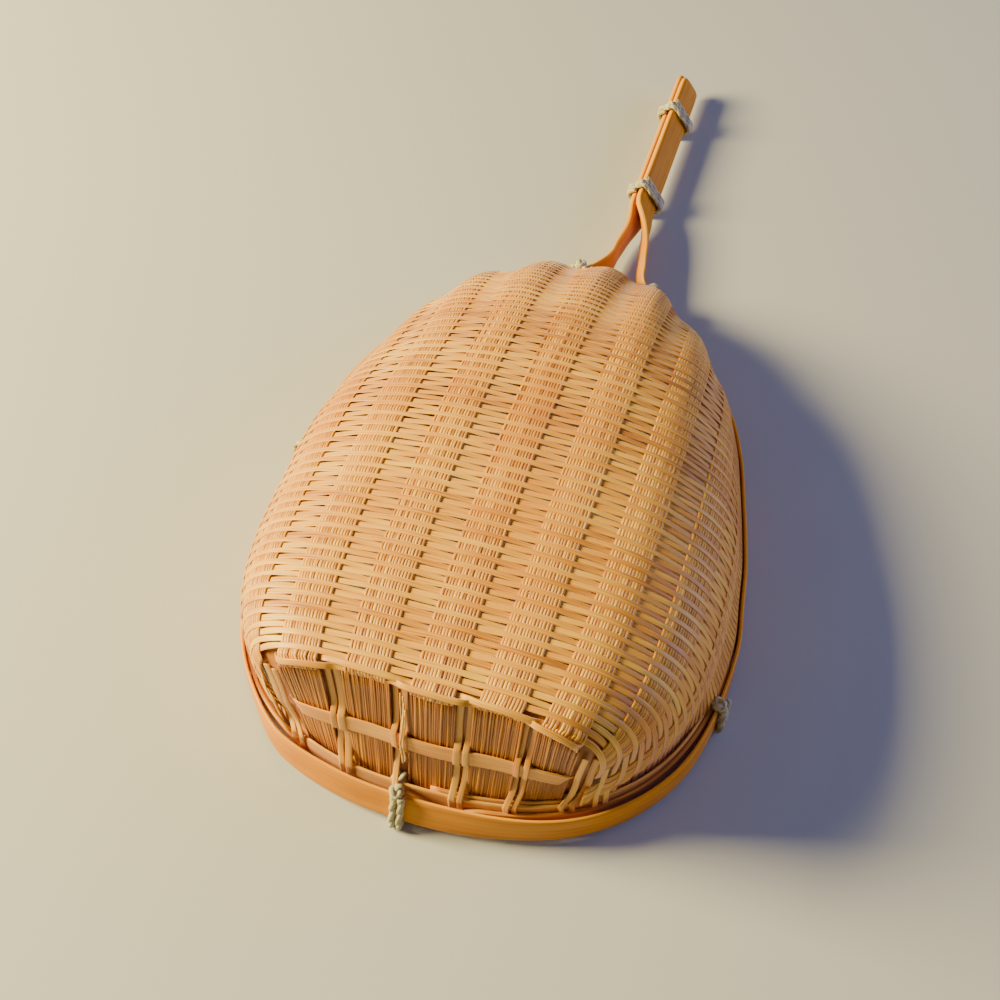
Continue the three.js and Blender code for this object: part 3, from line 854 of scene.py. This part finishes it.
def make_weavers():
    pieces = {}
    for row in range(FOLD_ROWS, len(rows)):
        number = cad_weaver(rows[row])
        if number not in pieces:
            pieces[number] = Piece(f"weavers_{number}")
        pieces[number].strip(weaver_stations(row), WEAVER_SECTION, row_tint(row))
    for number, piece in pieces.items():
        piece.finish(weaver_finish, "weaver_bamboo", f"weaver_{number}")


# Warp bands: bundles of strands, under and over the rows, five of them down the front wall

FRONT_DROPS = (1.0, 0.8, 0.6, 0.45, 0.3, 0.15, 0.03)
FRONT_LAYERS = ((0.0, FRONT_STRANDS), (-0.4, FRONT_STRANDS - 1))
FRONT_FOOT = WALL_FOOT + 1
FRONT_SWAY, FRONT_SWAY_LENGTH, FRONT_SWAY_REACH = 0.25, 30, 11
FRONT_UNEVEN = 0.08
FOLD_TURN_DROP, FOLD_TURN_RISE, FOLD_TURN_BEHIND = 0.05, 0.05, 0.7
EDGE_DROP, EDGE_DROP_POWER = 0.35, 4
OUT_PART, IN_PART = 0.32, 0.18
STRAND_SWAY, STRAND_SWAY_REACH = 0.1, 14
STRAND_UNEVEN = 0.02
SEEDS_PER_BAND = 100


def strand_offset(strand, count, width):
    return ((strand + 0.5) / count - 0.5) * width


def stations_of(spots, width):
    return [Station(place, across, out, width, STRAND_THICKNESS) for place, across, out in spots]


def front_strand(band, offset, depth, seed):
    """Places up the front wall to the fold, with their directions."""
    arc = band_arc(band, FOLD_AT) + offset
    foot = front_spot(arc, 1)
    spots = [(Vector((foot.place.x, foot.place.y, FRONT_FOOT)), foot.across, foot.out)]
    for drop in FRONT_DROPS:
        spot = front_spot(arc, drop)
        sway = FRONT_SWAY * wobble(drop * FRONT_SWAY_LENGTH, seed, FRONT_SWAY_REACH)
        spots.append((spot.off(out=depth, across=sway), spot.across, spot.out))
    return spots


def fold_turn(band, offset):
    """Places from the front wall over the fold, pressed in by the fold strip."""
    arc = band_arc(band, FOLD_AT) + offset
    front, fold = front_spot(arc, FOLD_TURN_DROP), front_spot(arc, 0)
    bent = (fold.out + UP).normalized()
    behind = body_spot(fold.place.y + FOLD_TURN_BEHIND, arc)
    return [
        (front.off(out=FOLD_TURN_RISE), front.across, front.out),
        (fold.place + bent * FOLD_TURN_RISE, fold.across, bent),
        (behind.off(out=-FOLD_TURN_RISE), behind.across, behind.out),
    ]


def strand_spots(band, offset, seed):
    """Places along a strand from the fold, or from its band's beginning: out between the rows over it."""
    folded = abs(band) <= FRONT_BANDS
    spots = fold_turn(band, offset) if folded else []
    first = 1 + band % 2 if folded else 1
    puff = rng.uniform(0.1, 0.5) if abs(band) == FRONT_BANDS else 0.0
    sunk = 1 - EDGE_DROP * abs(2 * offset / BAND_WIDTH) ** EDGE_DROP_POWER
    for row in range(first, len(rows)):
        lift = -over(band, row) * STRAND_LIFT * sunk + uneven(STRAND_UNEVEN)
        part = OUT_PART if lift > 0 else IN_PART
        if row == first:
            lift += puff
        pitch = rows[row] - rows[row - 1]
        for at in (rows[row] - part * pitch, rows[row] + part * pitch):
            arc = band_arc(band, at) + offset + STRAND_SWAY * wobble(at, seed, STRAND_SWAY_REACH)
            lowest, highest = arcs_at_height(at, STRAND_END)
            if lowest < arc < highest:
                spot = body_spot(at, arc)
                spots.append((spot.off(out=lift), spot.across, spot.out))
            elif spots:
                return spots
    return spots


def make_bands():
    for band in range(-SIDE_BANDS, SIDE_BANDS + 1):
        number = band + SIDE_BANDS + 1
        piece = Piece(f"strands_{number}")
        tone = rng.uniform(0.35, 0.65)
        for strand in range(STRANDS):
            offset = strand_offset(strand, STRANDS, BAND_WIDTH - STRAND_WIDTH) + uneven(0.06)
            spots = strand_spots(band, offset, SEEDS_PER_BAND * number + strand)
            width = STRAND_WIDTH * rng.uniform(0.85, 1.2)
            if len(spots) > 2:
                piece.strip(stations_of(spots, width), STRAND_SECTION, tone + uneven(0.3))
        if abs(band) <= FRONT_BANDS:
            for depth, count in FRONT_LAYERS:
                for strand in range(count):
                    offset = strand_offset(strand, count, FRONT_BAND_WIDTH * count / FRONT_STRANDS)
                    out = depth + uneven(FRONT_UNEVEN)
                    spots = front_strand(band, offset, out, SEEDS_PER_BAND * number + strand)
                    width = FRONT_BAND_WIDTH / FRONT_STRANDS * rng.uniform(0.95, 1.3)
                    piece.strip(stations_of(spots, width), STRAND_SECTION, rng.uniform(-0.9, 0.1))
        piece.finish(strand_finish, "strand_bamboo", f"warp_band_{number}")


# Hoops and handle

LEG_TWIST_SPAN = BODY_LENGTH, 173
LEG_UNTWIST_SPAN = 178, 191

# How far the outer hoop's foot and top stand out of its outline along the front
BOW_FADE_SPAN = 20, 45
BOW_CORNER_SPAN = 32, 46
FOOT_BOW, FOOT_BOW_RIGHT, FOOT_BOW_CORNER = 2.0, 1.1, 0.0
FOOT_BOW_RIGHT_SPAN = 0, 22
TOP_BOW_LEFT, TOP_BOW_RIGHT, TOP_BOW_CORNER = 0.9, 1.1, -0.1
TOP_BOW_LEFT_SPAN = 20, 36
TOP_BOW_RIGHT_SPAN = 8, 38


def rolled(direction, roll):
    """A direction turned to the left about the handle."""
    return Matrix.Rotation(-roll, 3, "Y") @ direction


def roll_lift(roll):
    """The rolled handle is lifted so that its lowest edge stays level with the foot of the rim."""
    return HANDLE_HALF * sin(roll) - (HOOP_TOP - HOOP_FOOT) / 2 * (1 - cos(roll))


def hoop_bow(place):
    """How far the outer hoop's foot and its top stand out of the outline: the hoop bows and leans."""
    fade = 1 - eased(*BOW_FADE_SPAN, place.y)
    corner = eased(*BOW_CORNER_SPAN, -place.x)
    foot = mix(FOOT_BOW, FOOT_BOW_RIGHT, eased(*FOOT_BOW_RIGHT_SPAN, place.x))
    left = TOP_BOW_LEFT * eased(*TOP_BOW_LEFT_SPAN, -place.x)
    right = TOP_BOW_RIGHT * eased(*TOP_BOW_RIGHT_SPAN, place.x)
    return mix(foot, FOOT_BOW_CORNER, corner) * fade, mix(left + right, TOP_BOW_CORNER, corner) * fade


def outer_hoop():
    """The outer hoop with the handle, one strip from tip to tip."""
    piece = Piece("rim_and_handle")
    height = HOOP_TOP - HOOP_FOOT
    stations = []
    for spot in rim_spots:
        y = spot.place.y
        thickness = mix(HOOP_THICKNESS, HANDLE_THICKNESS, eased(BODY_LENGTH, HANDLE_FROM, y))
        roll = HANDLE_ROLL * eased(ROLL_FROM, HANDLE_FROM, y)
        leg = Vector((copysign(LEG_OFFSET, spot.place.x), 0, 0))
        foot, top = hoop_bow(spot.place)
        place = spot.at((thickness - foot - top) / 2, HOOP_MIDDLE + roll_lift(roll))
        place = place + rolled(leg, roll) - leg
        if spot.place.x > 0:
            roll -= LEG_TWIST * eased(*LEG_TWIST_SPAN, y) * (1 - eased(*LEG_UNTWIST_SPAN, y))
        wide = rolled(UP * height + spot.inward * (foot - top), roll).normalized()
        out = wide.cross(spot.run).normalized()
        stations.append(Station(place, wide, out, height, thickness))
    ends = rounded_tip(stations[0], stations[1]), rounded_tip(stations[-1], stations[-2])
    piece.strip([*ends[0], *stations[2:-2], *reversed(ends[1])], SKIN_SECTION, 0.0, edge_tint=1.0)
    piece.finish(hoop_finish, "hoop_bamboo", "rim_hoop_outer")


TIP_ROUNDING = 2.0
TIP_SHAPE = ((0.0, 0.35), (0.06, 0.6), (0.2, 0.8), (0.5, 0.95))


def rounded_tip(end, inner):
    """Stations that round off a handle strip's end."""
    back = (inner.place - end.place).normalized()
    stations = []
    for share, height in TIP_SHAPE:
        place = end.place + back * TIP_ROUNDING * share
        thickness = end.thickness * (1 + height) / 2
        stations.append(Station(place, end.wide, end.out, end.width * height, thickness))
    return stations


def plain_hoop(piece, spots, depth, thickness, foot, top, tint):
    """A hoop on edge behind the outer one, whose top follows a function of the place."""
    stations = []
    for spot in spots:
        height = top(spot.place) - foot
        place = spot.at(depth + thickness / 2, foot + height / 2)
        stations.append(Station(place, UP, spot.inward, height, thickness))
    piece.strip(stations, HOOP_SECTION, tint)


MIDDLE_THICKNESS = 0.6
MIDDLE_FOOT = HOOP_FOOT + 0.8
MIDDLE_PROUD, MIDDLE_PROUD_BEHIND = 1.5, 0.3
MIDDLE_PROUD_SPAN = 4, 30
MIDDLE_SUNK = -3.0
MIDDLE_SUNK_SPAN = 27, 34
MIDDLE_SUNK_END = 45, 60
FILLER_FOOT = HOOP_FOOT + 0.3
FILLER_LOW, FILLER_HIGH = HOOP_FOOT + 3, HOOP_TOP - 0.6
FILLER_RIGHT_SPAN = 4, 14
FILLER_LEFT_SPAN = 26, 34
FILLER_END = 50, 65
FILLER_PLAY = 0.1
SPLINT_THICKNESS = 0.5
SPLINT_FOOT, SPLINT_TOP = HOOP_FOOT + 3, HOOP_TOP + 2.3
SPLINT_BEHIND = 0.7
SPLINT_REACH_BACK, SPLINT_REACH_RIGHT = 12, 40


def middle_top(place):
    """The middle hoop stands proud of the outer one along the front, and lies low at the left corner."""
    proud = mix(MIDDLE_PROUD, MIDDLE_PROUD_BEHIND, eased(*MIDDLE_PROUD_SPAN, place.y))
    corner = eased(*MIDDLE_SUNK_SPAN, -place.x) * (1 - eased(*MIDDLE_SUNK_END, place.y))
    return HOOP_TOP + mix(proud, MIDDLE_SUNK, corner)


def filler_top(place):
    """A thin filler lies deep between the outer and middle hoops, and comes up towards the front corners."""
    corner = max(eased(*FILLER_RIGHT_SPAN, place.x), eased(*FILLER_LEFT_SPAN, -place.x))
    return mix(FILLER_LOW, FILLER_HIGH, corner * (1 - eased(*FILLER_END, place.y)))


def on_splint(place):
    """Whether the splint behind the middle hoop reaches a place on the rim: the front's right half."""
    return place.y < SPLINT_REACH_BACK and 0 < place.x < SPLINT_REACH_RIGHT


def make_hoops():
    outer_hoop()
    held = [spot for spot in rim_spots if spot.place.y < HOOP_END_AT]
    middle = Piece("middle_hoop")
    plain_hoop(middle, held, MIDDLE_DEPTH, MIDDLE_THICKNESS, MIDDLE_FOOT, middle_top, 0.7)
    filler_depth = HOOP_THICKNESS + FILLER_PLAY
    filler_thickness = MIDDLE_DEPTH - filler_depth - FILLER_PLAY
    plain_hoop(middle, held, filler_depth, filler_thickness, FILLER_FOOT, filler_top, 0.2)
    splint = [spot for spot in held if on_splint(spot.place)]
    splint_depth = MIDDLE_DEPTH + SPLINT_BEHIND
    plain_hoop(middle, splint, splint_depth, SPLINT_THICKNESS, SPLINT_FOOT, lambda place: SPLINT_TOP, 0.5)
    middle.finish(pale_finish, "pale_bamboo", "rim_hoop_middle")
    inner = Piece("inner_hoop")
    plain_hoop(inner, held, INNER_DEPTH, INNER_HOOP_THICKNESS, HOOP_FOOT, lambda place: HOOP_TOP, 0.4)
    inner.finish(pale_finish, "pale_bamboo", "rim_hoop_inner")


# Front wall: cross strip, fold strips and stakes

FRONT_HEIGHT = FOLD_HEIGHT - HOOP_TOP
ROUTE_STEP = 0.06

# Route of the cross strip: places in bands from the middle, and how far out it lies
CROSS_DROP = 17.6
CROSS_WIDTH, CROSS_THICKNESS = 4.4, 0.4
CROSS_ROUTE = (
    (-2.36, -0.5), (-2.2, 0.4), (-2.0, 0.65), (-1.0, 0.65), (0.0, 0.65),
    (1.0, 0.65), (2.0, 0.65), (2.25, 0.5), (2.4, -0.3),
)

# Routes of the two fold strips: places in bands from the middle, distances from the front and how far out
# they lie. The front one lies over the even bands, the one behind it over the odd ones
FOLD_STRIP_WIDTH, FOLD_STRIP_THICKNESS = 1.35, 0.35
FOLD_TURN_REACH = 2
FRONT_FOLD_ROUTE = (
    (-2.42, 8.8, -0.7), (-2.33, 8.1, 0.1), (-2.2, 7.7, 0.45), (-2.0, 7.6, 0.5),
    (-1.75, 7.7, 0.4), (-1.58, 7.9, 0.1), (-1.4, 8.1, -0.7), (-1.0, 8.3, -0.9),
    (-0.6, 8.1, -0.6), (-0.44, 7.9, 0.1), (-0.3, 7.8, 0.4), (0.0, 7.7, 0.5),
    (0.3, 7.7, 0.4), (0.45, 7.8, 0.1), (0.62, 8.0, -0.7), (1.0, 8.2, -0.9),
    (1.4, 8.0, -0.6), (1.58, 7.7, 0.1), (1.72, 7.6, 0.4), (2.0, 7.5, 0.5),
    (2.25, 7.5, 0.4), (2.38, 8.0, -0.4),
)
BACK_FOLD_ROUTE = (
    (-2.0, 9.6, -0.7), (-1.72, 9.6, -0.5), (-1.56, 9.5, 0.0), (-1.3, 9.3, 0.4),
    (-1.0, 9.2, 0.5), (-0.7, 9.1, 0.4), (-0.52, 9.0, 0.0), (-0.35, 9.0, -0.5),
    (0.0, 9.1, -0.7), (0.35, 9.0, -0.5), (0.5, 8.9, 0.0), (0.7, 8.7, 0.4),
    (1.0, 8.6, 0.5), (1.3, 8.5, 0.4), (1.5, 8.4, 0.1), (1.68, 8.5, -0.5),
    (2.0, 8.7, -0.7), (2.3, 8.9, -0.4), (2.5, 9.1, 0.1), (2.75, 9.3, 0.4),
    (3.1, 9.5, 0.4), (3.5, 9.6, 0.1),
)


def fold_spot(along, y):
    """A place on the fold, facing halfway between the top and the front at its edge."""
    arc = band_arc(along, FOLD_AT)
    spot = body_spot(max(y, FOLD_AT), arc)
    turn = 1 - eased(0, FOLD_TURN_REACH, y - fold_at(arc))
    return Spot(spot.place, spot.across, spot.along + (front_spot(arc, 0).along - spot.along) * turn / 2)


def cross_spot(along, drop):
    """A place on the front wall, its drop below the fold in millimetres."""
    return front_spot(band_arc(along, FOLD_AT), drop / FRONT_HEIGHT)


def routed_strip(piece, spot_at, route, width, thickness, shape, tint):
    """A strip along a route over the fold or across the front wall."""
    smooth = smooth_path([Vector(knot) for knot in route], ROUTE_STEP)
    spots = [spot_at(knot.x, knot.y) for knot in smooth]
    places = [spot.off(out=knot.z) for spot, knot in zip(spots, smooth)]
    piece.strip(strip_through(places, [spot.along for spot in spots], width, thickness), shape, tint)


# A stake runs inside, out over the cross strip, in again, and ends just in front of the middle hoop: its
# drops as shares of the wall's height, and how far out it lies
STAKE_WIDTH, STAKE_THICKNESS = 1.5, 0.35
STAKE_SPACING = 1.0
STAKE_STEP = 0.5
STAKE_SWAY, STAKE_SWAY_LENGTH, STAKE_SWAY_REACH = 0.2, 40, 8
STAKE_END_DEPTH = MIDDLE_DEPTH - 0.3
STAKE_END_HEIGHTS = (HOOP_TOP + 1.6, HOOP_TOP, WALL_FOOT + 1)
STAKE_ROUTE = (
    (0.05, -0.8), (0.25, -0.8), (0.40, -0.6), (0.445, 0.3), (0.475, 0.95),
    (0.54, 1.05), (0.605, 0.95), (0.64, 0.4), (0.69, -0.5), (0.76, -0.4),
    (0.84, 0.2),
)
CORNER_ROUTE = ((0.1, 0.1), (0.3, 0.3), (0.475, 0.6), (0.54, 0.7), (0.605, 0.6), (0.84, 0.3))
CORNER_EDGE = 4.7
CORNER_SHIFTS = (1.5, 3.8)
CORNER_FORWARD, CORNER_SPREAD = 0.5, 0.5

# One stake is broken off below the cross strip and torn into splints
BREAK_AT = 0.7
FRAYS, FRAY_STEPS = 5, 6
FRAY_THICKNESS = 0.25
FRAY_OUT, FRAY_BULGE = 0.2, 1.5
FRAY_BULGE_AT, FRAY_BULGE_REACH = 0.54, 0.13


def corner_spot(side, shift, drop):
    """A place at the front wall's edge, outside the last band."""
    arc = band_arc(side * FRONT_BANDS, FOLD_AT) + side * CORNER_EDGE
    edge = wall(FOLD_AT, arc)
    top = edge + Vector((side * shift, shift / 2 - CORNER_FORWARD, -shift / 2))
    foot_x = edge.x * FRONT_WALL_TAPER + side * (shift + CORNER_SPREAD)
    foot = on_front(foot_x).at(WALL_DEPTH, HOOP_TOP)
    beside = front_spot(arc, drop)
    return Spot(top.lerp(foot, drop), beside.across, beside.along)


def add_stake(piece, spot_at, route=STAKE_ROUTE, broken=False):
    """A stake along its route; a broken one stops below the cross strip."""
    seed = rng.uniform(0, 50)
    places = []
    for drop, offset in route:
        if not broken or drop < BREAK_AT:
            sway = STAKE_SWAY * wobble(drop * STAKE_SWAY_LENGTH, seed, STAKE_SWAY_REACH)
            places.append(spot_at(drop).off(out=offset, across=sway))
    if not broken:
        rim = on_front(spot_at(1).place.x)
        places += [rim.at(STAKE_END_DEPTH, height) for height in STAKE_END_HEIGHTS]
    width = STAKE_WIDTH * rng.uniform(0.85, 1.1)
    path = smooth_path(places, STAKE_STEP)
    across = spot_at(route[0][0]).across
    stations = strip_through(path, [across] * len(path), width, STAKE_THICKNESS)
    piece.strip(stations, WEAVER_SECTION, rng.uniform(0.1, 0.8))


def fray(piece, spot_at):
    """Thin splints torn off a broken stake."""
    for _ in range(FRAYS):
        top, foot = rng.uniform(0.05, 0.35), rng.uniform(0.6, 0.8)
        side, lean_over = uneven(0.7), uneven(0.8)
        places, widths = [], []
        for i in range(FRAY_STEPS + 1):
            drop = mix(top, foot, i / FRAY_STEPS)
            spot = spot_at(drop)
            bulge = FRAY_BULGE * exp(-(((drop - FRAY_BULGE_AT) / FRAY_BULGE_REACH) ** 2))
            out = FRAY_OUT + bulge + rng.uniform(-0.1, 0.25)
            places.append(spot.off(out=out, across=side + lean_over * i / FRAY_STEPS))
            widths.append(spot.across)
        width = rng.uniform(0.25, 0.5)
        piece.strip(strip_through(places, widths, width, FRAY_THICKNESS), STRAND_SECTION, 1.0)


# Backing strips behind the gaps of the front wall: their dark brown tint is painted shade for the recesses
# between the stakes
BACKING_WIDTH, BACKING_THICKNESS = 5.4, 0.3
BACKING_DEPTH = 1.3
BACKING_PAINTED_SHADE_TINT = -0.8
BACKING_BEHIND = (7, 5, 3)
BACKING_DROPS = (0.1, 0.35, 0.65, 0.95)
CORNER_BACKING_AT = 2.48
CORNER_BACKING_WIDTH = 8.5


def painted_shade_backing(piece, arc, width=BACKING_WIDTH):
    """A broad strip inside a gap between two bands, tinted dark brown as painted shade for the recess, from
    the top over the fold and down the front.
    """
    spots = [body_spot(FOLD_AT + behind, arc) for behind in BACKING_BEHIND]
    spots += [front_spot(arc, drop) for drop in BACKING_DROPS]
    places = [spot.off(out=-BACKING_DEPTH) for spot in spots]
    stations = strip_through(places, [spot.across for spot in spots], width, BACKING_THICKNESS)
    piece.strip(stations, WEAVER_SECTION, BACKING_PAINTED_SHADE_TINT)


def make_front_wall():
    cross = Piece("cross_strip")
    route = [(along, CROSS_DROP, out) for along, out in CROSS_ROUTE]
    routed_strip(cross, cross_spot, route, CROSS_WIDTH, CROSS_THICKNESS, HOOP_SECTION, 0.5)
    cross.finish(cross_finish, "strand_bamboo", "front_cross_strip")
    for name, node, route, tint in (
        ("fold_strip_front", "fold_strip_outer", FRONT_FOLD_ROUTE, 0.55),
        ("fold_strip_behind", "fold_strip_inner", BACK_FOLD_ROUTE, 0.65),
    ):
        strip = Piece(name)
        routed_strip(strip, fold_spot, route, FOLD_STRIP_WIDTH, FOLD_STRIP_THICKNESS, WEAVER_SECTION, tint)
        strip.finish(weaver_finish, "weaver_bamboo", node)
    number = 0
    for gap in range(-FRONT_BANDS, FRONT_BANDS):
        for side in (-1, 1):
            number += 1
            middle = band_arc(gap + 0.5, FOLD_AT)
            arc = middle + side * STAKE_SPACING
            stake = Piece(f"stake_{number}")
            if side < 0:
                painted_shade_backing(stake, middle)
            broken = gap == -1 and side == 1
            add_stake(stake, partial(front_spot, arc), broken=broken)
            if broken:
                fray(stake, partial(front_spot, arc))
            stake.finish(pale_finish, "pale_bamboo", f"front_stake_{number}")
    for name, side in (("left", -1), ("right", 1)):
        corner = Piece(f"stake_{name}_corner")
        for shift in CORNER_SHIFTS:
            add_stake(corner, partial(corner_spot, side, shift), CORNER_ROUTE)
        painted_shade_backing(corner, band_arc(side * CORNER_BACKING_AT, FOLD_AT), CORNER_BACKING_WIDTH)
        corner.finish(pale_finish, "pale_bamboo", f"corner_stake_{name}")


# Lashings: two-ply twine

PLY_TURN, PLY_RADIUS = 4.0, 0.38
TWINE_PLAY = 0.1
TWINE_SPACING = 0.86
TWINE_STEP, KNOT_STEP = 0.5, 0.4
CORNER_CUT = 0.7
KNOT_SIZE, KNOT_RISE = 0.2, 1.1
RIM_LOOPS, HANDLE_LOOPS = 2, 3


def plies(piece, path, twine):
    """Two strands twisted round each other along a path."""
    turn_length, ply_radius = PLY_TURN * twine, PLY_RADIUS * twine
    run = (path[1] - path[0]).normalized()
    side = run.orthogonal().normalized()
    frames = []
    travelled = 0.0
    for i, place in enumerate(path):
        run = run_at(path, i).normalized()
        side = (side - run * side.dot(run)).normalized()
        if i:
            travelled += (place - path[i - 1]).length
        frames.append((place, run, side, travelled))
    for start in (0, pi):
        stations = []
        for place, run, side, travelled in frames:
            turned = Matrix.Rotation(start + 2 * pi * travelled / turn_length, 3, run) @ side
            centre = place + turned * (twine / 2 - ply_radius)
            stations.append(Station(centre, turned, run.cross(turned), 2 * ply_radius, 2 * ply_radius))
        piece.strip(stations, TWINE_SECTION, 0.5)


def lashing_path(at, depth, loops, twine):
    """Down the outer face, under, up the inner face and over, once for each loop."""
    margin = TWINE_PLAY + twine / 2
    flat = [(-margin, HOOP_TOP + margin)]
    corner = margin * CORNER_CUT
    for loop in range(loops):
        flat += [(-margin, HOOP_MIDDLE), (-corner, HOOP_FOOT - corner), (depth / 2, HOOP_FOOT - margin)]
        flat += [(depth + corner, HOOP_FOOT - corner), (depth + margin, HOOP_MIDDLE)]
        flat += [(depth + corner, HOOP_TOP + corner), (depth / 2, HOOP_TOP + margin)]
        if loop < loops - 1:
            flat.append((-corner, HOOP_TOP + corner))
    travel = TWINE_SPACING * twine * loops
    foot, top = hoop_bow(at.place)
    points = []
    for i, (inwards, z) in enumerate(flat):
        along = (i / (len(flat) - 1) - 0.5) * travel
        if inwards < 0:
            inwards -= mix(foot, top, clamp((z - HOOP_FOOT) / (HOOP_TOP - HOOP_FOOT)))
        points.append(at.place + at.inward * inwards + at.run * along + UP * z)
    return smooth_path(points, TWINE_STEP)


def knot_path(centre, size, turn):
    """A small overhand knot."""
    points = []
    steps = 26
    for i in range(steps + 1):
        t = 2 * pi * i / steps
        ring = 2 + cos(3 * t)
        flat = Vector((ring * cos(2 * t), ring * sin(2 * t), 1.2 * sin(3 * t))) * size
        points.append(centre + turn @ flat)
    return smooth_path(points, KNOT_STEP)


def make_lashing(name, node, at, depth, loops, knot_depth, twine=TWINE_DIAMETER, roll=0.0):
    """Loops of twine round the hoops or the handle, with a knot on top."""
    piece = Piece(name)
    centre = at.at(knot_depth, HOOP_TOP + KNOT_RISE)
    turn = Matrix.Rotation(rng.uniform(0, 3), 3, "Z") @ Matrix.Rotation(uneven(0.4), 3, "X")
    for path in (lashing_path(at, depth, loops, twine), knot_path(centre, KNOT_SIZE * twine, turn)):
        level = UP * HOOP_MIDDLE
        turned = [rolled(p - level, roll) + level + UP * roll_lift(roll) for p in path]
        lowest = twine / 2 + TWINE_PLAY
        plies(piece, [Vector((p.x, p.y, max(p.z, lowest))) for p in turned], twine)
    piece.finish(twine_finish, "twine", node)


def make_lashings():
    stack = INNER_DEPTH + INNER_HOOP_THICKNESS
    front = on_front(front_place(band_arc(-0.5, FOLD_AT), 1).x)
    for name, at, knot_depth in (
        ("front", front, 0.3),
        ("right", on_rim(40.5, 1), 0.2),
        ("left", on_rim(82, -1), stack + 0.5),
        ("neck_right", on_rim(160.5, 1), 0.0),
        ("neck_left", on_rim(164, -1), 0.0),
    ):
        make_lashing(f"twine_{name}", f"lashing_{name}", at, stack, RIM_LOOPS, knot_depth)
    for name, y in (("lower", 201.5), ("upper", 239)):
        at = RimSpot(Vector((HANDLE_HALF, y, 0)), Vector((0, -1, 0)))
        node = f"lashing_handle_{name}"
        twine = HANDLE_TWINE_DIAMETER
        depth = 2 * HANDLE_HALF
        make_lashing(f"twine_handle_{name}", node, at, depth, HANDLE_LOOPS, 0.5, twine, HANDLE_ROLL)


make_weavers()
make_bands()
make_hoops()
make_front_wall()
make_lashings()


# Stage: pale floor, soft light from the left, a weak fill from the right, and the camera

CAMERA_PLACE = Vector((56, -121, 286))
FLOOR_HALF_WIDTH = 3
WORLD_COLOUR, WORLD_STRENGTH = (0.75, 0.85, 1.0, 1), 0.13


def add_floor():
    bm = bmesh.new()
    bmesh.ops.create_grid(bm, x_segments=1, y_segments=1, size=FLOOR_HALF_WIDTH)
    floor = mesh_object("floor", bm, pale_floor("floor"))


def add_light(name, place, target, size, power, colour):
    light = bpy.data.lights.new(name, "AREA")
    light.size = size
    light.energy = power
    light.color = colour
    obj = put_in_scene(name, light)
    obj.location = place
    obj.rotation_euler = (target - obj.location).to_track_quat("-Z", "Y").to_euler()


def add_camera():
    """The photograph's view: 52.6 degrees down, from 17.3 degrees to the right of the front."""
    image, focal = 1000, 1440
    pitch, azimuth = radians(52.6), radians(17.3)
    camera = bpy.data.cameras.new("camera")
    camera.sensor_width = 36
    camera.lens = camera.sensor_width * focal / image
    camera.clip_start = 0.01
    obj = put_in_scene("camera", camera)
    obj.location = to_frame(CAMERA_PLACE)
    obj.rotation_euler = (pi / 2 - pitch, 0, azimuth)
    bpy.context.scene.camera = obj


def set_world():
    world = bpy.data.worlds.new("studio")
    world.use_nodes = True
    background = world.node_tree.nodes["Background"]
    background.inputs["Color"].default_value = WORLD_COLOUR
    background.inputs["Strength"].default_value = WORLD_STRENGTH
    bpy.context.scene.world = world


add_floor()
body_middle = Vector((0, -0.05, 0.03))
add_light("key", (-0.7, -0.18, 0.42), body_middle, 0.3, 26.0, (1.0, 0.82, 0.36))
add_light("fill", (0.7, 0.3, 0.18), body_middle, 0.6, 5.0, (0.52, 0.50, 1.0))
add_camera()
set_world()
